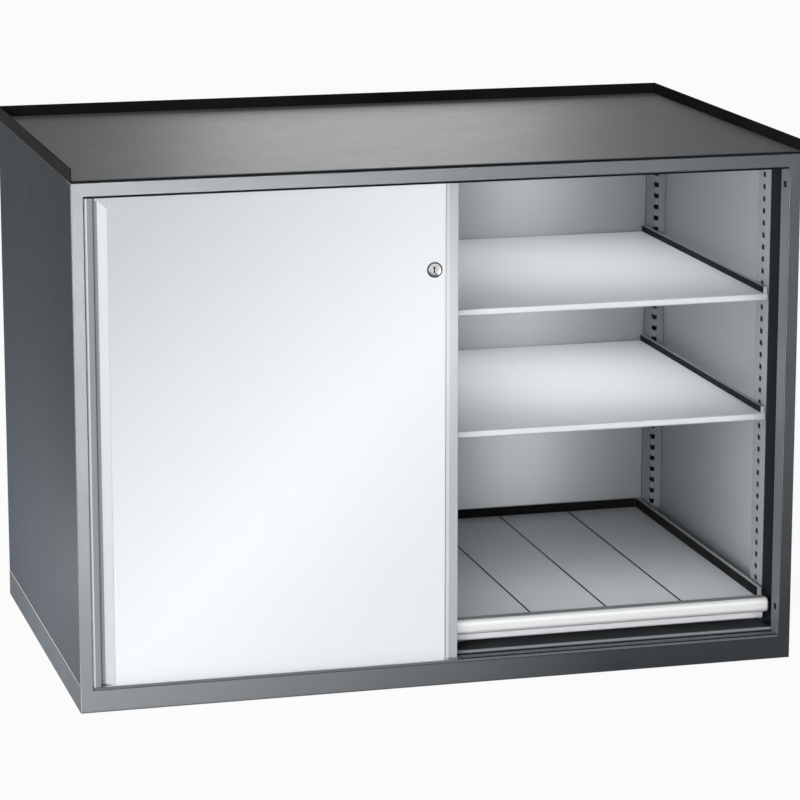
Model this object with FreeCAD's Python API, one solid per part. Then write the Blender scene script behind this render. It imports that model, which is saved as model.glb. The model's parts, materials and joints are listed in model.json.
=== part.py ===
# Metal workshop cabinet: two sliding doors, shelves, and a pull-out tray on telescopic slides.
# Drawn in millimetres from the front-left floor corner: X to the right, Y to the back, Z up.
# Saved about the middle of the footprint, so the origin is on the floor under the cabinet's centre.
import FreeCAD
import Part
import math
import os

from FreeCAD import Vector

# Overall size
WIDTH = 1193.0
DEPTH = 725.0
TOP = 850.0
RIM = 20.0

# Sheet metal
SHEET = 1.5
THIN = 1.2
BEND = 2.0
TIGHT = 0.0
EDGE_ROUND = 1.2

# Front frame and its opening
FRAME_TOP = 847.5
STILE = 20.0
OPEN_LOW = 37.0
OPEN_TOP = 825.5
LIP = 3.0
RETURN = 36.0
FRAME_FLANGE = 40.0
RETURN_HEM = 10.0
SIDE_START = 2.5

# Housing
BASE_TOP = 42.0
BASE_FLANGE = 22.0
SIDE_LOW = 43.0
ROOF_LOW = 846.0
FLOOR_LOW = 36.0
FLOOR_TOP = FLOOR_LOW + THIN
BACK_IN = 704.0
BACK_LIP = 706.0

# Slotted posts
POST_FRONT = 80.0
POST_DEPTH = 58.0
BACK_POST_FRONT = 650.0
BACK_POST_DEPTH = 53.0
CENTRE_LEFT = 578.5
CENTRE_RIGHT = WIDTH - CENTRE_LEFT
SLOT_PITCH = 20.2
SLOT_COUNT = 35
SLOT_TOP = 796.6
SLOT_HEIGHT = 8.5
SLOT_DEPTH = 11.5
SLOT_SET_BACK = 26.0
WRAP_DEPTH = 15.0
WRAP_WIDTH = 5.5

# Shelves, set ten slots apart
SHELF_GAP = 1.5
SHELF_FRONT = 81.0
SHELF_BACK = 701.0
SHELF_LIP = 12.0
SHELF_RIM = 11.0
SHELF_HEM = 6.4
SHELF_SLOTS = {"upper": 10, "lower": 20}
SHELF_OVER_SLOT = 8.4
CLIP_WIDTH = 9.5
CLIP_REACH = 14.0
CLIP_TONGUE = 4.0
CLIP_LOW = 3.5

# Doors: rest stacked at the left, front door before rear door
DOOR_WIDTH = 600.0
DOOR_DEPTH = 14.0
DOOR_LEFT = 21.0
DOOR_TOP = 823.5
DOOR_FOOT = 41.5
DOOR_FACE = {"left": 4.5, "right": 20.5}
SKIN_FOOT = {"left": 38.0, "right": DOOR_FOOT}
GRIP = 36.0
EDGE = 23.0
LIP_NOSE = 14.2
SLIT = 1.4
GRIP_FLOOR = 8.5
GRIP_FLOOR_END = 21.5
GRIP_MARGIN = 6.0
GRIP_CORNER = 13.5
EDGE_STEP = 5.0
EDGE_SLOPE = 7.5

# Door running gear
AXLE_FROM_END = 70.0
ROLLER_RADIUS = 17.0
ROLLER_WIDTH = 4.0
AXLE_RADIUS = 2.5
FIT = 0.05
GROOVE = 5.0
GROOVE_FLOOR = 28.0
TRACK_TOP = 40.0
ROLLER_GAP = 0.3
TOP_TRACK_LOW = 829.0
TOP_TRACK_LEG = 1.2
GUIDE_RADIUS = 6.0
GUIDE_LOW = 830.5
GUIDE_TOP = 839.5
PIN_RADIUS = 2.0
PIN_COLLAR = 4.0
PIN_HEAD = 1.5

# Lock in the left door, measured from the door's right end
LOCK_FROM_END = 42.0
LOCK_HEIGHT = 685.0
LOCK_RING = 12.5
LOCK_BODY = 11.0
LOCK_CORE = 7.5
CAM_LENGTH = 15.0

# Pull-out
PULL_LEFT = 624.5
PULL_RIGHT = 1169.0
TRAY_INSET = 2.5
TRAY_FRONT = 66.0
TRAY_BACK = 700.0
TRAY_FLOOR = 82.0
TRAY_TOP = 105.0
PLANKS = 4
PLANK_TOP = 88.0
PLANK_GAP = 1.5
BAR_FRONT = 40.0
BAR_LOW = 68.0
BAR_TOP = 92.0
BAR_SHELL = 2.0
BAR_ROUND = 8.0
STRIP_FACE = 58.0
STRIP_LOW = 54.0

# Telescopic slides under the tray, mirrored about the pull-out's middle
PULL_MIDDLE = (PULL_LEFT + PULL_RIGHT) / 2
SLIDE_WEB = 261.0
SLIDE_LOW = 49.0
SLIDE_HEIGHT = 30.0
SLIDE_LENGTH = 620.0
MEMBER_STEP = 4.0
FOOT_PITCH = 440.0

# Top
RIM_SHEET = 1.6
MAT_GAP = 0.8
MAT = 1.6

# Small parts
BUFFER_HEIGHTS = (85.0, 795.0)
BUFFER_SIZE = 10.0
BUFFER_PROUD = 0.6
SCREW_HEAD = 4.0
SCREW_TALL = 2.0


def box(x0, x1, y0, y1, z0, z1):
    return Part.makeBox(x1 - x0, y1 - y0, z1 - z0, Vector(x0, y0, z0))


def cylinder(radius, start, end):
    start = Vector(*start)
    axis = Vector(*end) - start
    return Part.makeCylinder(radius, axis.Length, start, axis)


def prism(points, run):
    """A closed outline of 3-D points, drawn out along run."""
    corners = [Vector(*point) for point in points]
    wire = Part.makePolygon(corners + corners[:1])
    return Part.Face(wire).extrude(Vector(*run))


def hexagon(radius, start, end):
    """Hexagon head or collar along Y or Z, between two points."""
    run = Vector(*end) - Vector(*start)
    across = Vector(1, 0, 0)
    up = Vector(run).normalize().cross(across)
    turns = [math.radians(60 * i) for i in range(6)]
    spokes = [across * radius * math.cos(turn) + up * radius * math.sin(turn) for turn in turns]
    return prism([Vector(*start) + spoke for spoke in spokes], run)


def fuse(shapes):
    return shapes[0].fuse(shapes[1:]).removeSplitter()


def mirrored(shape, middle=WIDTH / 2):
    return shape.mirror(Vector(middle, 0, 0), Vector(1, 0, 0))


def left_normal(start, end):
    along = end - start
    return Vector(-along.y, along.x, 0).normalize()


def sheet_side(path, shift, bend):
    """One side of a folded sheet, shifted from the middle line: runs joined by arcs, mitred where tight."""
    edges = []
    start = path[0] + left_normal(path[0], path[1]) * shift
    for before, corner, after in zip(path, path[1:], path[2:]):
        entry = left_normal(before, corner)
        leave = left_normal(corner, after)
        if bend == TIGHT:
            mitre = corner + (entry + leave) * (shift / (1 + entry.dot(leave)))
            edges.append(Part.LineSegment(start, mitre).toShape())
            start = mitre
            continue
        turn = math.atan2(entry.cross(leave).z, entry.dot(leave))
        side = math.copysign(1, turn)
        cut = bend * math.tan(abs(turn) / 2)
        first = corner - (corner - before).normalize() * cut
        centre = first + entry * (bend * side)
        last = corner + (after - corner).normalize() * cut
        radius = bend - shift * side
        middle = centre - (entry + leave).normalize() * (radius * side)
        first = first + entry * shift
        last = last + leave * shift
        edges.append(Part.LineSegment(start, first).toShape())
        edges.append(Part.Arc(first, middle, last).toShape())
        start = last
    end = path[-1] + left_normal(path[-2], path[-1]) * shift
    edges.append(Part.LineSegment(start, end).toShape())
    return edges


def folded(points, thick, bend, plane, run):
    """A bent sheet: its middle line's points on a plane ("xy", "xz" or "yz"), drawn out along run."""
    path = [Vector(u, v, 0) for u, v in points]
    one = sheet_side(path, thick / 2, bend)
    other = sheet_side(path, -thick / 2, bend)
    cap_end = Part.LineSegment(one[-1].Vertexes[-1].Point, other[-1].Vertexes[-1].Point).toShape()
    cap_start = Part.LineSegment(one[0].Vertexes[0].Point, other[0].Vertexes[0].Point).toShape()
    wire = Part.Wire(Part.__sortEdges__(one + [cap_end] + other[::-1] + [cap_start]))
    face = Part.Face(wire)
    x_axis, y_axis = {
        "xy": (Vector(1, 0, 0), Vector(0, 1, 0)),
        "xz": (Vector(1, 0, 0), Vector(0, 0, 1)),
        "yz": (Vector(0, 1, 0), Vector(0, 0, 1)),
    }[plane]
    turn = FreeCAD.Rotation(x_axis, y_axis, x_axis.cross(y_axis), "XYZ")
    start, end = run
    offset = x_axis.cross(y_axis)
    across = Vector(abs(offset.x), abs(offset.y), abs(offset.z))
    face.Placement = FreeCAD.Placement(across * start, turn)
    return face.extrude(across * (end - start))


def rounded(shape, radius, test):
    """Round the edges whose middle point passes the test."""
    edges = [edge for edge in shape.Edges if test(edge.CenterOfMass, edge.Length)]
    return shape.makeFillet(radius, edges)


def save(name, shape):
    shape.translate(Vector(-WIDTH / 2, -DEPTH / 2, 0))
    if not shape.isValid():
        raise ValueError(name + " is not a valid shape")
    shape.exportStep("parts/" + name + ".step")
    print(name, len(shape.Solids), round(shape.Volume / 1000, 1), "cm3")


# Housing

def front_frame():
    """Welded frame round the opening, with deep side returns that the doors close against."""
    right = WIDTH - STILE
    plate = box(0, WIDTH, 0, SHEET, 0, FRAME_TOP)
    plate = plate.cut(box(STILE, right, 0, SHEET, OPEN_LOW, OPEN_TOP))
    pieces = [plate]
    pieces.append(box(STILE, right, 0, LIP, OPEN_LOW - SHEET, OPEN_LOW))
    pieces.append(box(STILE, right, 0, LIP, OPEN_TOP, OPEN_TOP + SHEET))
    pieces.append(box(0, WIDTH, 0, FRAME_FLANGE, ROOF_LOW, FRAME_TOP))
    pieces.append(box(SHEET, WIDTH - SHEET, 0, BASE_FLANGE, 0, SHEET))
    left_return = box(STILE - SHEET, STILE, 0, RETURN, BASE_FLANGE, ROOF_LOW)
    left_hem = box(STILE - RETURN_HEM, STILE, RETURN - SHEET, RETURN, BASE_FLANGE, ROOF_LOW)
    left_fold = box(0, SHEET, 0, SIDE_START, 0, FRAME_TOP)
    for piece in (left_return, left_hem, left_fold):
        pieces += [piece, mirrored(piece)]
    frame = fuse(pieces)

    def seen_edge(middle, length):
        front = abs(middle.y) < 0.01
        corner = abs(middle.y - RETURN) < 0.01 and min(abs(middle.x - STILE), abs(middle.x - right)) < 0.01
        return length > RETURN and (front or corner)

    frame = rounded(frame, EDGE_ROUND, seen_edge)
    for x in (STILE, right):
        for z in BUFFER_HEIGHTS:
            frame = frame.cut(buffer_block(x, z, 0.1))
    return frame


def buffer_block(x, z, room):
    """A buffer in the return at x, grown by room to make its slot."""
    middle = RETURN / 2
    half = BUFFER_SIZE / 2 + room
    reach = 2 * SHEET
    inward = math.copysign(1, WIDTH / 2 - x)
    near = x + inward * BUFFER_PROUD
    far = x - inward * reach
    return box(min(near, far), max(near, far), middle - half, middle + half, z - half, z + half)


def door_buffers():
    sides = (STILE, WIDTH - STILE)
    return Part.makeCompound([buffer_block(x, z, 0) for x in sides for z in BUFFER_HEIGHTS])


def side_panel():
    """Outer side sheet, folded round the back corner and forward again."""
    half = SHEET / 2
    path = [(half, SIDE_START), (half, DEPTH - half), (STILE - half, DEPTH - half), (STILE - half, BACK_LIP)]
    return folded(path, SHEET, BEND, "xy", (SIDE_LOW, FRAME_TOP)).cut(
        box(0, STILE, SIDE_START, FRAME_FLANGE, ROOF_LOW, FRAME_TOP))


def base_frame():
    """Three channel rails under the sides and back, closed at the front by the front frame."""
    half = SHEET / 2
    low = half
    high = BASE_TOP - half
    start = FRAME_FLANGE + BEND
    side = folded([(BASE_FLANGE, high), (half, high), (half, low), (BASE_FLANGE, low)],
                  SHEET, TIGHT, "xz", (start, DEPTH - BEND))
    skirt = box(0, SHEET, SIDE_START, start, 0, BASE_TOP)
    inner = DEPTH - BASE_FLANGE
    back = folded([(inner, high), (DEPTH - half, high), (DEPTH - half, low), (inner, low)],
                  SHEET, TIGHT, "yz", (0, WIDTH))
    return fuse([back, side, skirt, mirrored(side), mirrored(skirt)])


def cross_members():
    beams = []
    for share in (0.25, 0.5, 0.75):
        left = WIDTH * share - BASE_FLANGE
        right = WIDTH * share + BASE_FLANGE
        path = [(left, FLOOR_LOW), (left, SHEET), (right, SHEET), (right, FLOOR_LOW)]
        beams.append(folded(path, SHEET, TIGHT, "xz", (FRAME_FLANGE + BEND * 2, DEPTH - BASE_FLANGE - BEND)))
    return Part.makeCompound(beams)


def floor_pan():
    front = FRAME_FLANGE + BEND
    middle = FLOOR_LOW + THIN / 2
    path = [(DEPTH - BASE_FLANGE - THIN, middle), (front, middle), (front, FLOOR_LOW - BASE_FLANGE)]
    return folded(path, THIN, TIGHT, "yz", (SHEET + THIN, WIDTH - SHEET - THIN)).cut(cross_members())


def back_panel():
    """Recessed back sheet, flanged to the back at its top and bottom."""
    top = ROOF_LOW - THIN / 2
    low = SIDE_LOW + THIN / 2
    middle = BACK_IN + THIN / 2
    rim = DEPTH - SHEET
    path = [(rim, top), (middle, top), (middle, low), (rim, low)]
    return folded(path, THIN, TIGHT, "yz", (STILE + THIN, WIDTH - STILE - THIN))


def panel_screws():
    columns = 6
    rows = 3
    inset = STILE * 2
    span = WIDTH - 2 * inset
    rise = ROOF_LOW - SIDE_LOW - 2 * inset
    places = [(inset + span * i / (columns - 1), z) for i in range(columns)
              for z in (SIDE_LOW + inset, ROOF_LOW - inset)]
    places += [(x, SIDE_LOW + inset + rise * i / (rows + 1)) for i in range(1, rows + 1)
               for x in (inset, WIDTH - inset)]
    face = BACK_IN + THIN
    heads = [hexagon(SCREW_HEAD, (x, face, z), (x, face + SCREW_TALL, z)) for x, z in places]
    return Part.makeCompound(heads)


def roof_panel():
    return box(SHEET, WIDTH - SHEET, FRAME_FLANGE, DEPTH - SHEET * 2, ROOF_LOW, FRAME_TOP).cut(
        mirrored(side_panel())).cut(side_panel())


# Top

def top_tray():
    """Flat top with a thin rim standing at the left, right and back, open at the front."""
    plate = box(0, WIDTH, 0, DEPTH, FRAME_TOP, TOP)
    left = box(0, RIM_SHEET, 0, DEPTH, FRAME_TOP, TOP + RIM)
    back = box(0, WIDTH, DEPTH - RIM_SHEET, DEPTH, FRAME_TOP, TOP + RIM)
    return fuse([plate, left, mirrored(left), back])


def top_mat():
    inset = RIM_SHEET + MAT_GAP
    mat = box(inset, WIDTH - inset, MAT_GAP, DEPTH - inset, TOP, TOP + MAT)
    return rounded(mat, MAT / 3, lambda middle, length: middle.z > TOP + MAT - 0.01)


# Posts and partition

def slot_heights():
    return [SLOT_TOP - SLOT_PITCH * i for i in range(SLOT_COUNT)]


def slots(x0, x1, y0, y1):
    """A column of slot cutters."""
    half = SLOT_HEIGHT / 2
    return Part.makeCompound([box(x0, x1, y0, y1, z - half, z + half) for z in slot_heights()])


def corner_post(front, depth):
    """Channel post against the left side, its face one stile width in."""
    half = THIN / 2
    wall = SHEET + half
    face = STILE - half
    near = front + half
    far = front + depth - half
    path = [(wall, near), (face, near), (face, far), (wall, far)]
    return folded(path, THIN, TIGHT, "xy", (BASE_TOP, ROOF_LOW))


def front_post():
    near = POST_FRONT + SLOT_SET_BACK
    return corner_post(POST_FRONT, POST_DEPTH).cut(slots(STILE - BEND, STILE, near, near + SLOT_DEPTH))


def back_post():
    wrap = slots(STILE - WRAP_WIDTH, STILE, BACK_POST_FRONT, BACK_POST_FRONT + WRAP_DEPTH)
    return corner_post(BACK_POST_FRONT, BACK_POST_DEPTH).cut(wrap)


def centre_post(front, depth):
    outer = box(CENTRE_LEFT, CENTRE_RIGHT, front, front + depth, FLOOR_TOP, ROOF_LOW)
    return outer.cut(box(CENTRE_LEFT + THIN, CENTRE_RIGHT - THIN, front + THIN, front + depth - THIN,
                         FLOOR_TOP, ROOF_LOW))


def centre_front_post():
    near = POST_FRONT + SLOT_SET_BACK
    return centre_post(POST_FRONT, POST_DEPTH).cut(slots(CENTRE_LEFT, CENTRE_RIGHT, near, near + SLOT_DEPTH))


def centre_back_post():
    post = centre_post(BACK_POST_FRONT, BACK_POST_DEPTH)
    near = BACK_POST_FRONT
    for x0, x1 in ((CENTRE_LEFT, CENTRE_LEFT + WRAP_WIDTH), (CENTRE_RIGHT - WRAP_WIDTH, CENTRE_RIGHT)):
        post = post.cut(slots(x0, x1, near, near + WRAP_DEPTH))
    return post


def centre_partition():
    """Sheet between the centre posts, with a flange against each."""
    half = SHEET / 2
    front = POST_FRONT + POST_DEPTH + half
    back = BACK_POST_FRONT - half
    middle = WIDTH / 2
    flange = (CENTRE_RIGHT - CENTRE_LEFT) / 2 - BEND
    path = [(middle + flange, front), (middle, front), (middle, back), (middle - flange, back)]
    return folded(path, SHEET, TIGHT, "xy", (FLOOR_TOP, ROOF_LOW))


# Shelves

def bays():
    """Left and right faces of the posts at each side of the partition."""
    return {"left": (STILE, CENTRE_LEFT), "right": (CENTRE_RIGHT, WIDTH - STILE)}


def shelf_height(level):
    return SLOT_TOP - SLOT_PITCH * SHELF_SLOTS[level] + SHELF_OVER_SLOT


def rimmed_sheet(x0, x1, z, rim, run):
    """Flat sheet whose sides are folded up, out and down again as a hollow rim."""
    half = THIN / 2
    inner = SHELF_HEM - half
    hem = z + rim / 3
    ridge = z + rim - half
    sheet = z - half
    path = [(x0 + half, hem), (x0 + half, ridge), (x0 + inner, ridge), (x0 + inner, sheet)]
    path += [(x1 - inner, sheet), (x1 - inner, ridge), (x1 - half, ridge), (x1 - half, hem)]
    return folded(path, THIN, TIGHT, "xz", run)


def shelf(bay, level):
    x0, x1 = bays()[bay]
    x0 += SHELF_GAP
    x1 -= SHELF_GAP
    z = shelf_height(level)
    half = THIN / 2
    front = SHELF_FRONT + half
    sheet = rimmed_sheet(x0, x1, z, SHELF_RIM, (SHELF_FRONT + LIP, SHELF_BACK))
    under = z - SHELF_LIP + half
    nose = [(front + SHELF_LIP / 2, z - half), (front, z - half), (front, under), (front + SHELF_LIP, under)]
    back = SHELF_BACK - half
    heel = [(back - SHELF_LIP / 2, z - half), (back, z - half), (back, under)]
    lip = folded(nose, THIN, BEND, "yz", (x0, x1))
    tail = folded(heel, THIN, TIGHT, "yz", (x0 + SHELF_HEM, x1 - SHELF_HEM))
    return fuse([sheet, lip, tail])


def clip(face, inward, y, slot_z, top):
    """Hook on a post's face: a tongue in the slot, and a block under the shelf."""
    reach = sorted((face, face + inward * CLIP_REACH))
    tongue = sorted((face, face - inward * CLIP_TONGUE))
    block = box(*reach, y, y + CLIP_WIDTH, slot_z - CLIP_LOW, top)
    hook = box(*tongue, y, y + CLIP_WIDTH, slot_z - CLIP_LOW, slot_z + CLIP_LOW)
    return fuse([block, hook])


def shelf_clips():
    room = (SLOT_DEPTH - CLIP_WIDTH) / 2
    rows = (POST_FRONT + SLOT_SET_BACK + room, BACK_POST_FRONT + BEND + room)
    clips = []
    for level in SHELF_SLOTS:
        top = shelf_height(level) - THIN
        slot_z = shelf_height(level) - SHELF_OVER_SLOT
        for left, right in bays().values():
            for y in rows:
                clips.append(clip(left, 1, y, slot_z, top))
                clips.append(clip(right, -1, y, slot_z, top))
    return Part.makeCompound(clips)


# Door tracks

def track_lines():
    """Depth of the two door planes' middles."""
    return [face + DOOR_DEPTH / 2 for face in DOOR_FACE.values()]


def bottom_track():
    """Rolled strip with a groove for each door's rollers."""
    half = THIN / 2
    near, far = track_lines()
    wall = GROOVE / 2 + half
    floor = GROOVE_FLOOR - half
    top = TRACK_TOP - half
    path = [(near - wall, TRACK_TOP), (near - wall, floor), (near + wall, floor), (near + wall, top)]
    path += [(far - wall, top), (far - wall, floor), (far + wall, floor), (far + wall, top)]
    path += [(RETURN, top)]
    return folded(path, THIN, TIGHT, "yz", (STILE, WIDTH - STILE))


def track_rib():
    """Hat strip behind the track that stands a lip above it."""
    half = THIN / 2
    front = RETURN + half
    back = FRAME_FLANGE - half
    top = TRACK_TOP + LIP
    path = [(front, BASE_FLANGE), (front, top), (back, top), (back, BASE_FLANGE)]
    return folded(path, THIN, TIGHT, "yz", (STILE, WIDTH - STILE))


def top_track():
    """Three hanging legs that make a guide channel over each door."""
    near, far = track_lines()
    pitch = far - near
    ends = (STILE, WIDTH - STILE)
    half = TOP_TRACK_LEG / 2
    legs = [near - pitch / 2, near + pitch / 2, far + pitch / 2]
    pieces = [box(*ends, legs[0] - half, legs[2] + half, ROOF_LOW - TOP_TRACK_LEG, ROOF_LOW)]
    for y in legs:
        pieces.append(box(*ends, y - half, y + half, TOP_TRACK_LOW, ROOF_LOW))
    return fuse(pieces)


# Doors, drawn with the grip at the left end and the face at depth 0

def axle_places():
    return (AXLE_FROM_END, DOOR_WIDTH - AXLE_FROM_END)


def door_panel(foot, lock):
    """Shallow pan: face, four returns, cut-outs for the rollers and the lock."""
    left = GRIP
    right = DOOR_WIDTH - EDGE
    deep = DOOR_DEPTH - 1
    pieces = [box(left, right, 0, THIN, foot, DOOR_TOP)]
    pieces.append(box(left, right, 0, deep, DOOR_TOP - THIN, DOOR_TOP))
    pieces.append(box(left, right, 0, deep, DOOR_FOOT, DOOR_FOOT + THIN))
    pieces.append(box(left, left + THIN, 0, deep, DOOR_FOOT, DOOR_TOP))
    pieces.append(box(right - THIN, right, 0, deep, DOOR_FOOT, DOOR_TOP))
    pan = fuse(pieces)
    pan = rounded(pan, THIN / 2, lambda middle, length: middle.y < 0.01 and middle.z > DOOR_TOP - 0.01)
    middle = DOOR_DEPTH / 2
    half = ROLLER_WIDTH / 2 + THIN / 2
    for x in axle_places():
        pan = pan.cut(box(x - ROLLER_RADIUS, x + ROLLER_RADIUS, middle - half, middle + half,
                          DOOR_FOOT, DOOR_FOOT + THIN))
    if lock:
        x = DOOR_WIDTH - LOCK_FROM_END
        pan = pan.cut(cylinder(LOCK_BODY, (x, 0, LOCK_HEIGHT), (x, THIN, LOCK_HEIGHT)))
    return pan


def clear_of_track(shape, foot):
    """Below the door's foot only a thin front skirt goes down behind the frame's lip."""
    return shape.cut(box(0, DOOR_WIDTH, 2 * THIN, DOOR_DEPTH, foot - 1, DOOR_FOOT))


def door_grip(foot):
    """Grip profile: a round-nosed lip, a slit, and a finger channel with one sloped wall.

    The channel runs out at the door's foot and stops under the top with a mitred corner.
    """
    low = foot
    nose = 5.0
    small = 3.0
    deep = DOOR_DEPTH - 1
    wall = 1.6
    crown = nose - nose * math.sqrt(0.5)
    edges = [
        Part.LineSegment(Vector(0, deep, low), Vector(0, nose, low)),
        Part.Arc(Vector(0, nose, low), Vector(crown, crown, low), Vector(nose, 0, low)),
        Part.LineSegment(Vector(nose, 0, low), Vector(GRIP, 0, low)),
        Part.LineSegment(Vector(GRIP, 0, low), Vector(GRIP, deep, low)),
        Part.LineSegment(Vector(GRIP, deep, low), Vector(0, deep, low)),
    ]
    bar = Part.Face(Part.Wire([edge.toShape() for edge in edges])).extrude(Vector(0, 0, DOOR_TOP - low))
    end = LIP_NOSE
    slit_floor = GRIP_FLOOR + wall
    section = [(end, -1), (end, slit_floor), (end + SLIT, slit_floor), (end + SLIT, GRIP_FLOOR),
               (GRIP_FLOOR_END, GRIP_FLOOR), (GRIP, 0), (GRIP, -1)]
    channel = prism([(u, v, low - 1) for u, v in section], (0, 0, DOOR_TOP - low))
    roof = DOOR_TOP - GRIP_MARGIN
    outline = [(0, low - 1), (GRIP + 1, low - 1), (GRIP + 1, roof - GRIP_CORNER), (GRIP, roof - GRIP_CORNER),
               (GRIP_FLOOR_END, roof), (0, roof)]
    limit = prism([(u, -2, z) for u, z in outline], (0, DOOR_DEPTH, 0))
    bar = bar.cut(channel.common(limit))
    nose_edge = [edge for edge in bar.Edges
                 if abs(edge.CenterOfMass.x - end) < 0.01 and abs(edge.CenterOfMass.y) < 0.01]
    bar = bar.makeFillet(small, nose_edge)
    hollow = [(wall, nose), (nose, wall), (end - small, wall), (end - wall, small + 1), (end - wall, deep)]
    behind = [(end + SLIT + wall, GRIP_FLOOR + wall), (GRIP_FLOOR_END + wall / 2, GRIP_FLOOR + wall),
              (GRIP - wall, wall * 2), (GRIP - wall, deep), (end + SLIT + wall, deep)]
    for points in (hollow + [(wall, deep)], behind):
        bar = bar.cut(prism([(u, v, DOOR_FOOT + THIN) for u, v in points],
                            (0, 0, DOOR_TOP - DOOR_FOOT - GRIP_CORNER - 2 * GRIP_MARGIN)))
    return clear_of_track(bar, foot)


def door_edge(foot):
    """Far edge strip: a slope down from the face to a set-back flange, returned to the back."""
    half = THIN / 2
    start = DOOR_WIDTH - EDGE
    step = EDGE_STEP + half
    path = [(start + half, half), (start + EDGE_SLOPE, step), (DOOR_WIDTH - half, step),
            (DOOR_WIDTH - half, DOOR_DEPTH - 1)]
    return clear_of_track(folded(path, THIN, THIN, "xy", (foot, DOOR_TOP)), foot)


def axle_height():
    return GROOVE_FLOOR + ROLLER_GAP + ROLLER_RADIUS


def door_carriages():
    """Two forked brackets with roller axles, and two collared pins on the door's top."""
    middle = DOOR_DEPTH / 2
    gap = ROLLER_WIDTH / 2 + THIN / 2 + 0.1
    half = ROLLER_RADIUS * 0.65
    low = DOOR_FOOT + THIN
    crown = axle_height() + ROLLER_RADIUS + 1
    pieces = []
    for x in axle_places():
        cheeks = [box(x - half, x + half, middle + side, middle + side + THIN, low, crown + THIN)
                  for side in (gap, -gap - THIN)]
        bridge = box(x - half, x + half, middle - gap, middle + gap, crown, crown + THIN)
        axle = cylinder(AXLE_RADIUS, (x, middle - gap, axle_height()), (x, middle + gap, axle_height()))
        pieces.append(fuse(cheeks + [bridge, axle]))
        head = GUIDE_TOP + 0.5
        pin = cylinder(PIN_RADIUS, (x, middle, DOOR_TOP), (x, middle, head))
        collar = hexagon(PIN_COLLAR, (x, middle, DOOR_TOP), (x, middle, GUIDE_LOW - 0.3))
        cap = hexagon(PIN_COLLAR, (x, middle, head), (x, middle, head + PIN_HEAD))
        pieces.append(fuse([pin, collar, cap]))
    return Part.makeCompound(pieces)


def door_roller(x):
    middle = DOOR_DEPTH / 2
    half = ROLLER_WIDTH / 2
    z = axle_height()
    wheel = cylinder(ROLLER_RADIUS, (x, middle - half, z), (x, middle + half, z))
    return wheel.cut(cylinder(AXLE_RADIUS + FIT, (x, middle - half, z), (x, middle + half, z)))


def guide_roller(x):
    middle = DOOR_DEPTH / 2
    wheel = cylinder(GUIDE_RADIUS, (x, middle, GUIDE_LOW), (x, middle, GUIDE_TOP))
    return wheel.cut(cylinder(PIN_RADIUS + FIT, (x, middle, GUIDE_LOW), (x, middle, GUIDE_TOP)))


def lock_barrel():
    x = DOOR_WIDTH - LOCK_FROM_END
    proud = 1.5
    ring = cylinder(LOCK_RING, (x, -proud, LOCK_HEIGHT), (x, 0, LOCK_HEIGHT))
    body = cylinder(LOCK_BODY, (x, 0, LOCK_HEIGHT), (x, DOOR_DEPTH - 5, LOCK_HEIGHT))
    bore = cylinder(LOCK_CORE + FIT, (x, -proud, LOCK_HEIGHT), (x, DOOR_DEPTH, LOCK_HEIGHT))
    return fuse([ring, body]).cut(bore)


def lock_core():
    """Turning plug with a keyway in front and a cam behind."""
    x = DOOR_WIDTH - LOCK_FROM_END
    z = LOCK_HEIGHT
    plug = cylinder(LOCK_CORE, (x, -1.2, z), (x, DOOR_DEPTH - 4, z))
    key = box(x - 0.8, x + 0.8, -1.2, 5, z - 4, z + 4)
    cam = box(x - 4, x + 4, DOOR_DEPTH - 4.5, DOOR_DEPTH - 3, z - 4, z + CAM_LENGTH)
    return fuse([plug.cut(key), cam])


def save_door(side):
    """Put one door's pieces in their plane; the right door is the same door turned end for end."""
    foot = SKIN_FOOT[side]
    pieces = {"door_panel": door_panel(foot, side == "left"), "door_grip": door_grip(foot)}
    pieces["door_edge"] = door_edge(foot)
    pieces["door_carriages"] = door_carriages()
    for number, x in enumerate(axle_places(), 1):
        pieces["door_roller_" + str(number)] = door_roller(x)
        pieces["top_guide_" + str(number)] = guide_roller(x)
    if side == "left":
        pieces["lock_barrel"] = lock_barrel()
        pieces["lock_core"] = lock_core()
    for name, shape in pieces.items():
        if side == "right":
            shape = mirrored(shape, DOOR_WIDTH / 2)
        shape.translate(Vector(DOOR_LEFT, DOOR_FACE[side], 0))
        save(name if name.startswith("lock") else side + "_" + name, shape)


# Pull-out

def pull_out_tray():
    """Sheet tray with hollow side rims, a back wall, and a front wall behind the grip bar."""
    x0 = PULL_LEFT + TRAY_INSET
    x1 = PULL_RIGHT - TRAY_INSET
    tray = rimmed_sheet(x0, x1, TRAY_FLOOR, TRAY_TOP - TRAY_FLOOR, (TRAY_FRONT, TRAY_BACK))
    inner = (x0 + SHELF_HEM, x1 - SHELF_HEM)
    back = box(*inner, TRAY_BACK - THIN, TRAY_BACK, TRAY_FLOOR - THIN, TRAY_TOP)
    front = box(*inner, TRAY_FRONT, TRAY_FRONT + THIN, STRIP_LOW, PLANK_TOP)
    return fuse([tray, back, front])


def floor_plank(number):
    """One of the channel planks that make the tray's floor."""
    inset = TRAY_INSET + SHELF_HEM
    left = PULL_LEFT + inset
    pitch = (PULL_RIGHT - inset - left) / PLANKS
    half = THIN / 2
    x0 = left + pitch * number + PLANK_GAP / 2 + half
    x1 = left + pitch * (number + 1) - PLANK_GAP / 2 - half
    top = PLANK_TOP - half
    path = [(x0, TRAY_FLOOR), (x0, top), (x1, top), (x1, TRAY_FLOOR)]
    return folded(path, THIN, TIGHT, "xz", (TRAY_FRONT + THIN, TRAY_BACK - THIN))


def bar_path():
    half = BAR_SHELL / 2
    front = BAR_FRONT + half
    return [(TRAY_FRONT, BAR_TOP - half), (front, BAR_TOP - half), (front, BAR_LOW + half),
            (front + BAR_ROUND + half, BAR_LOW + half)]


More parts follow.
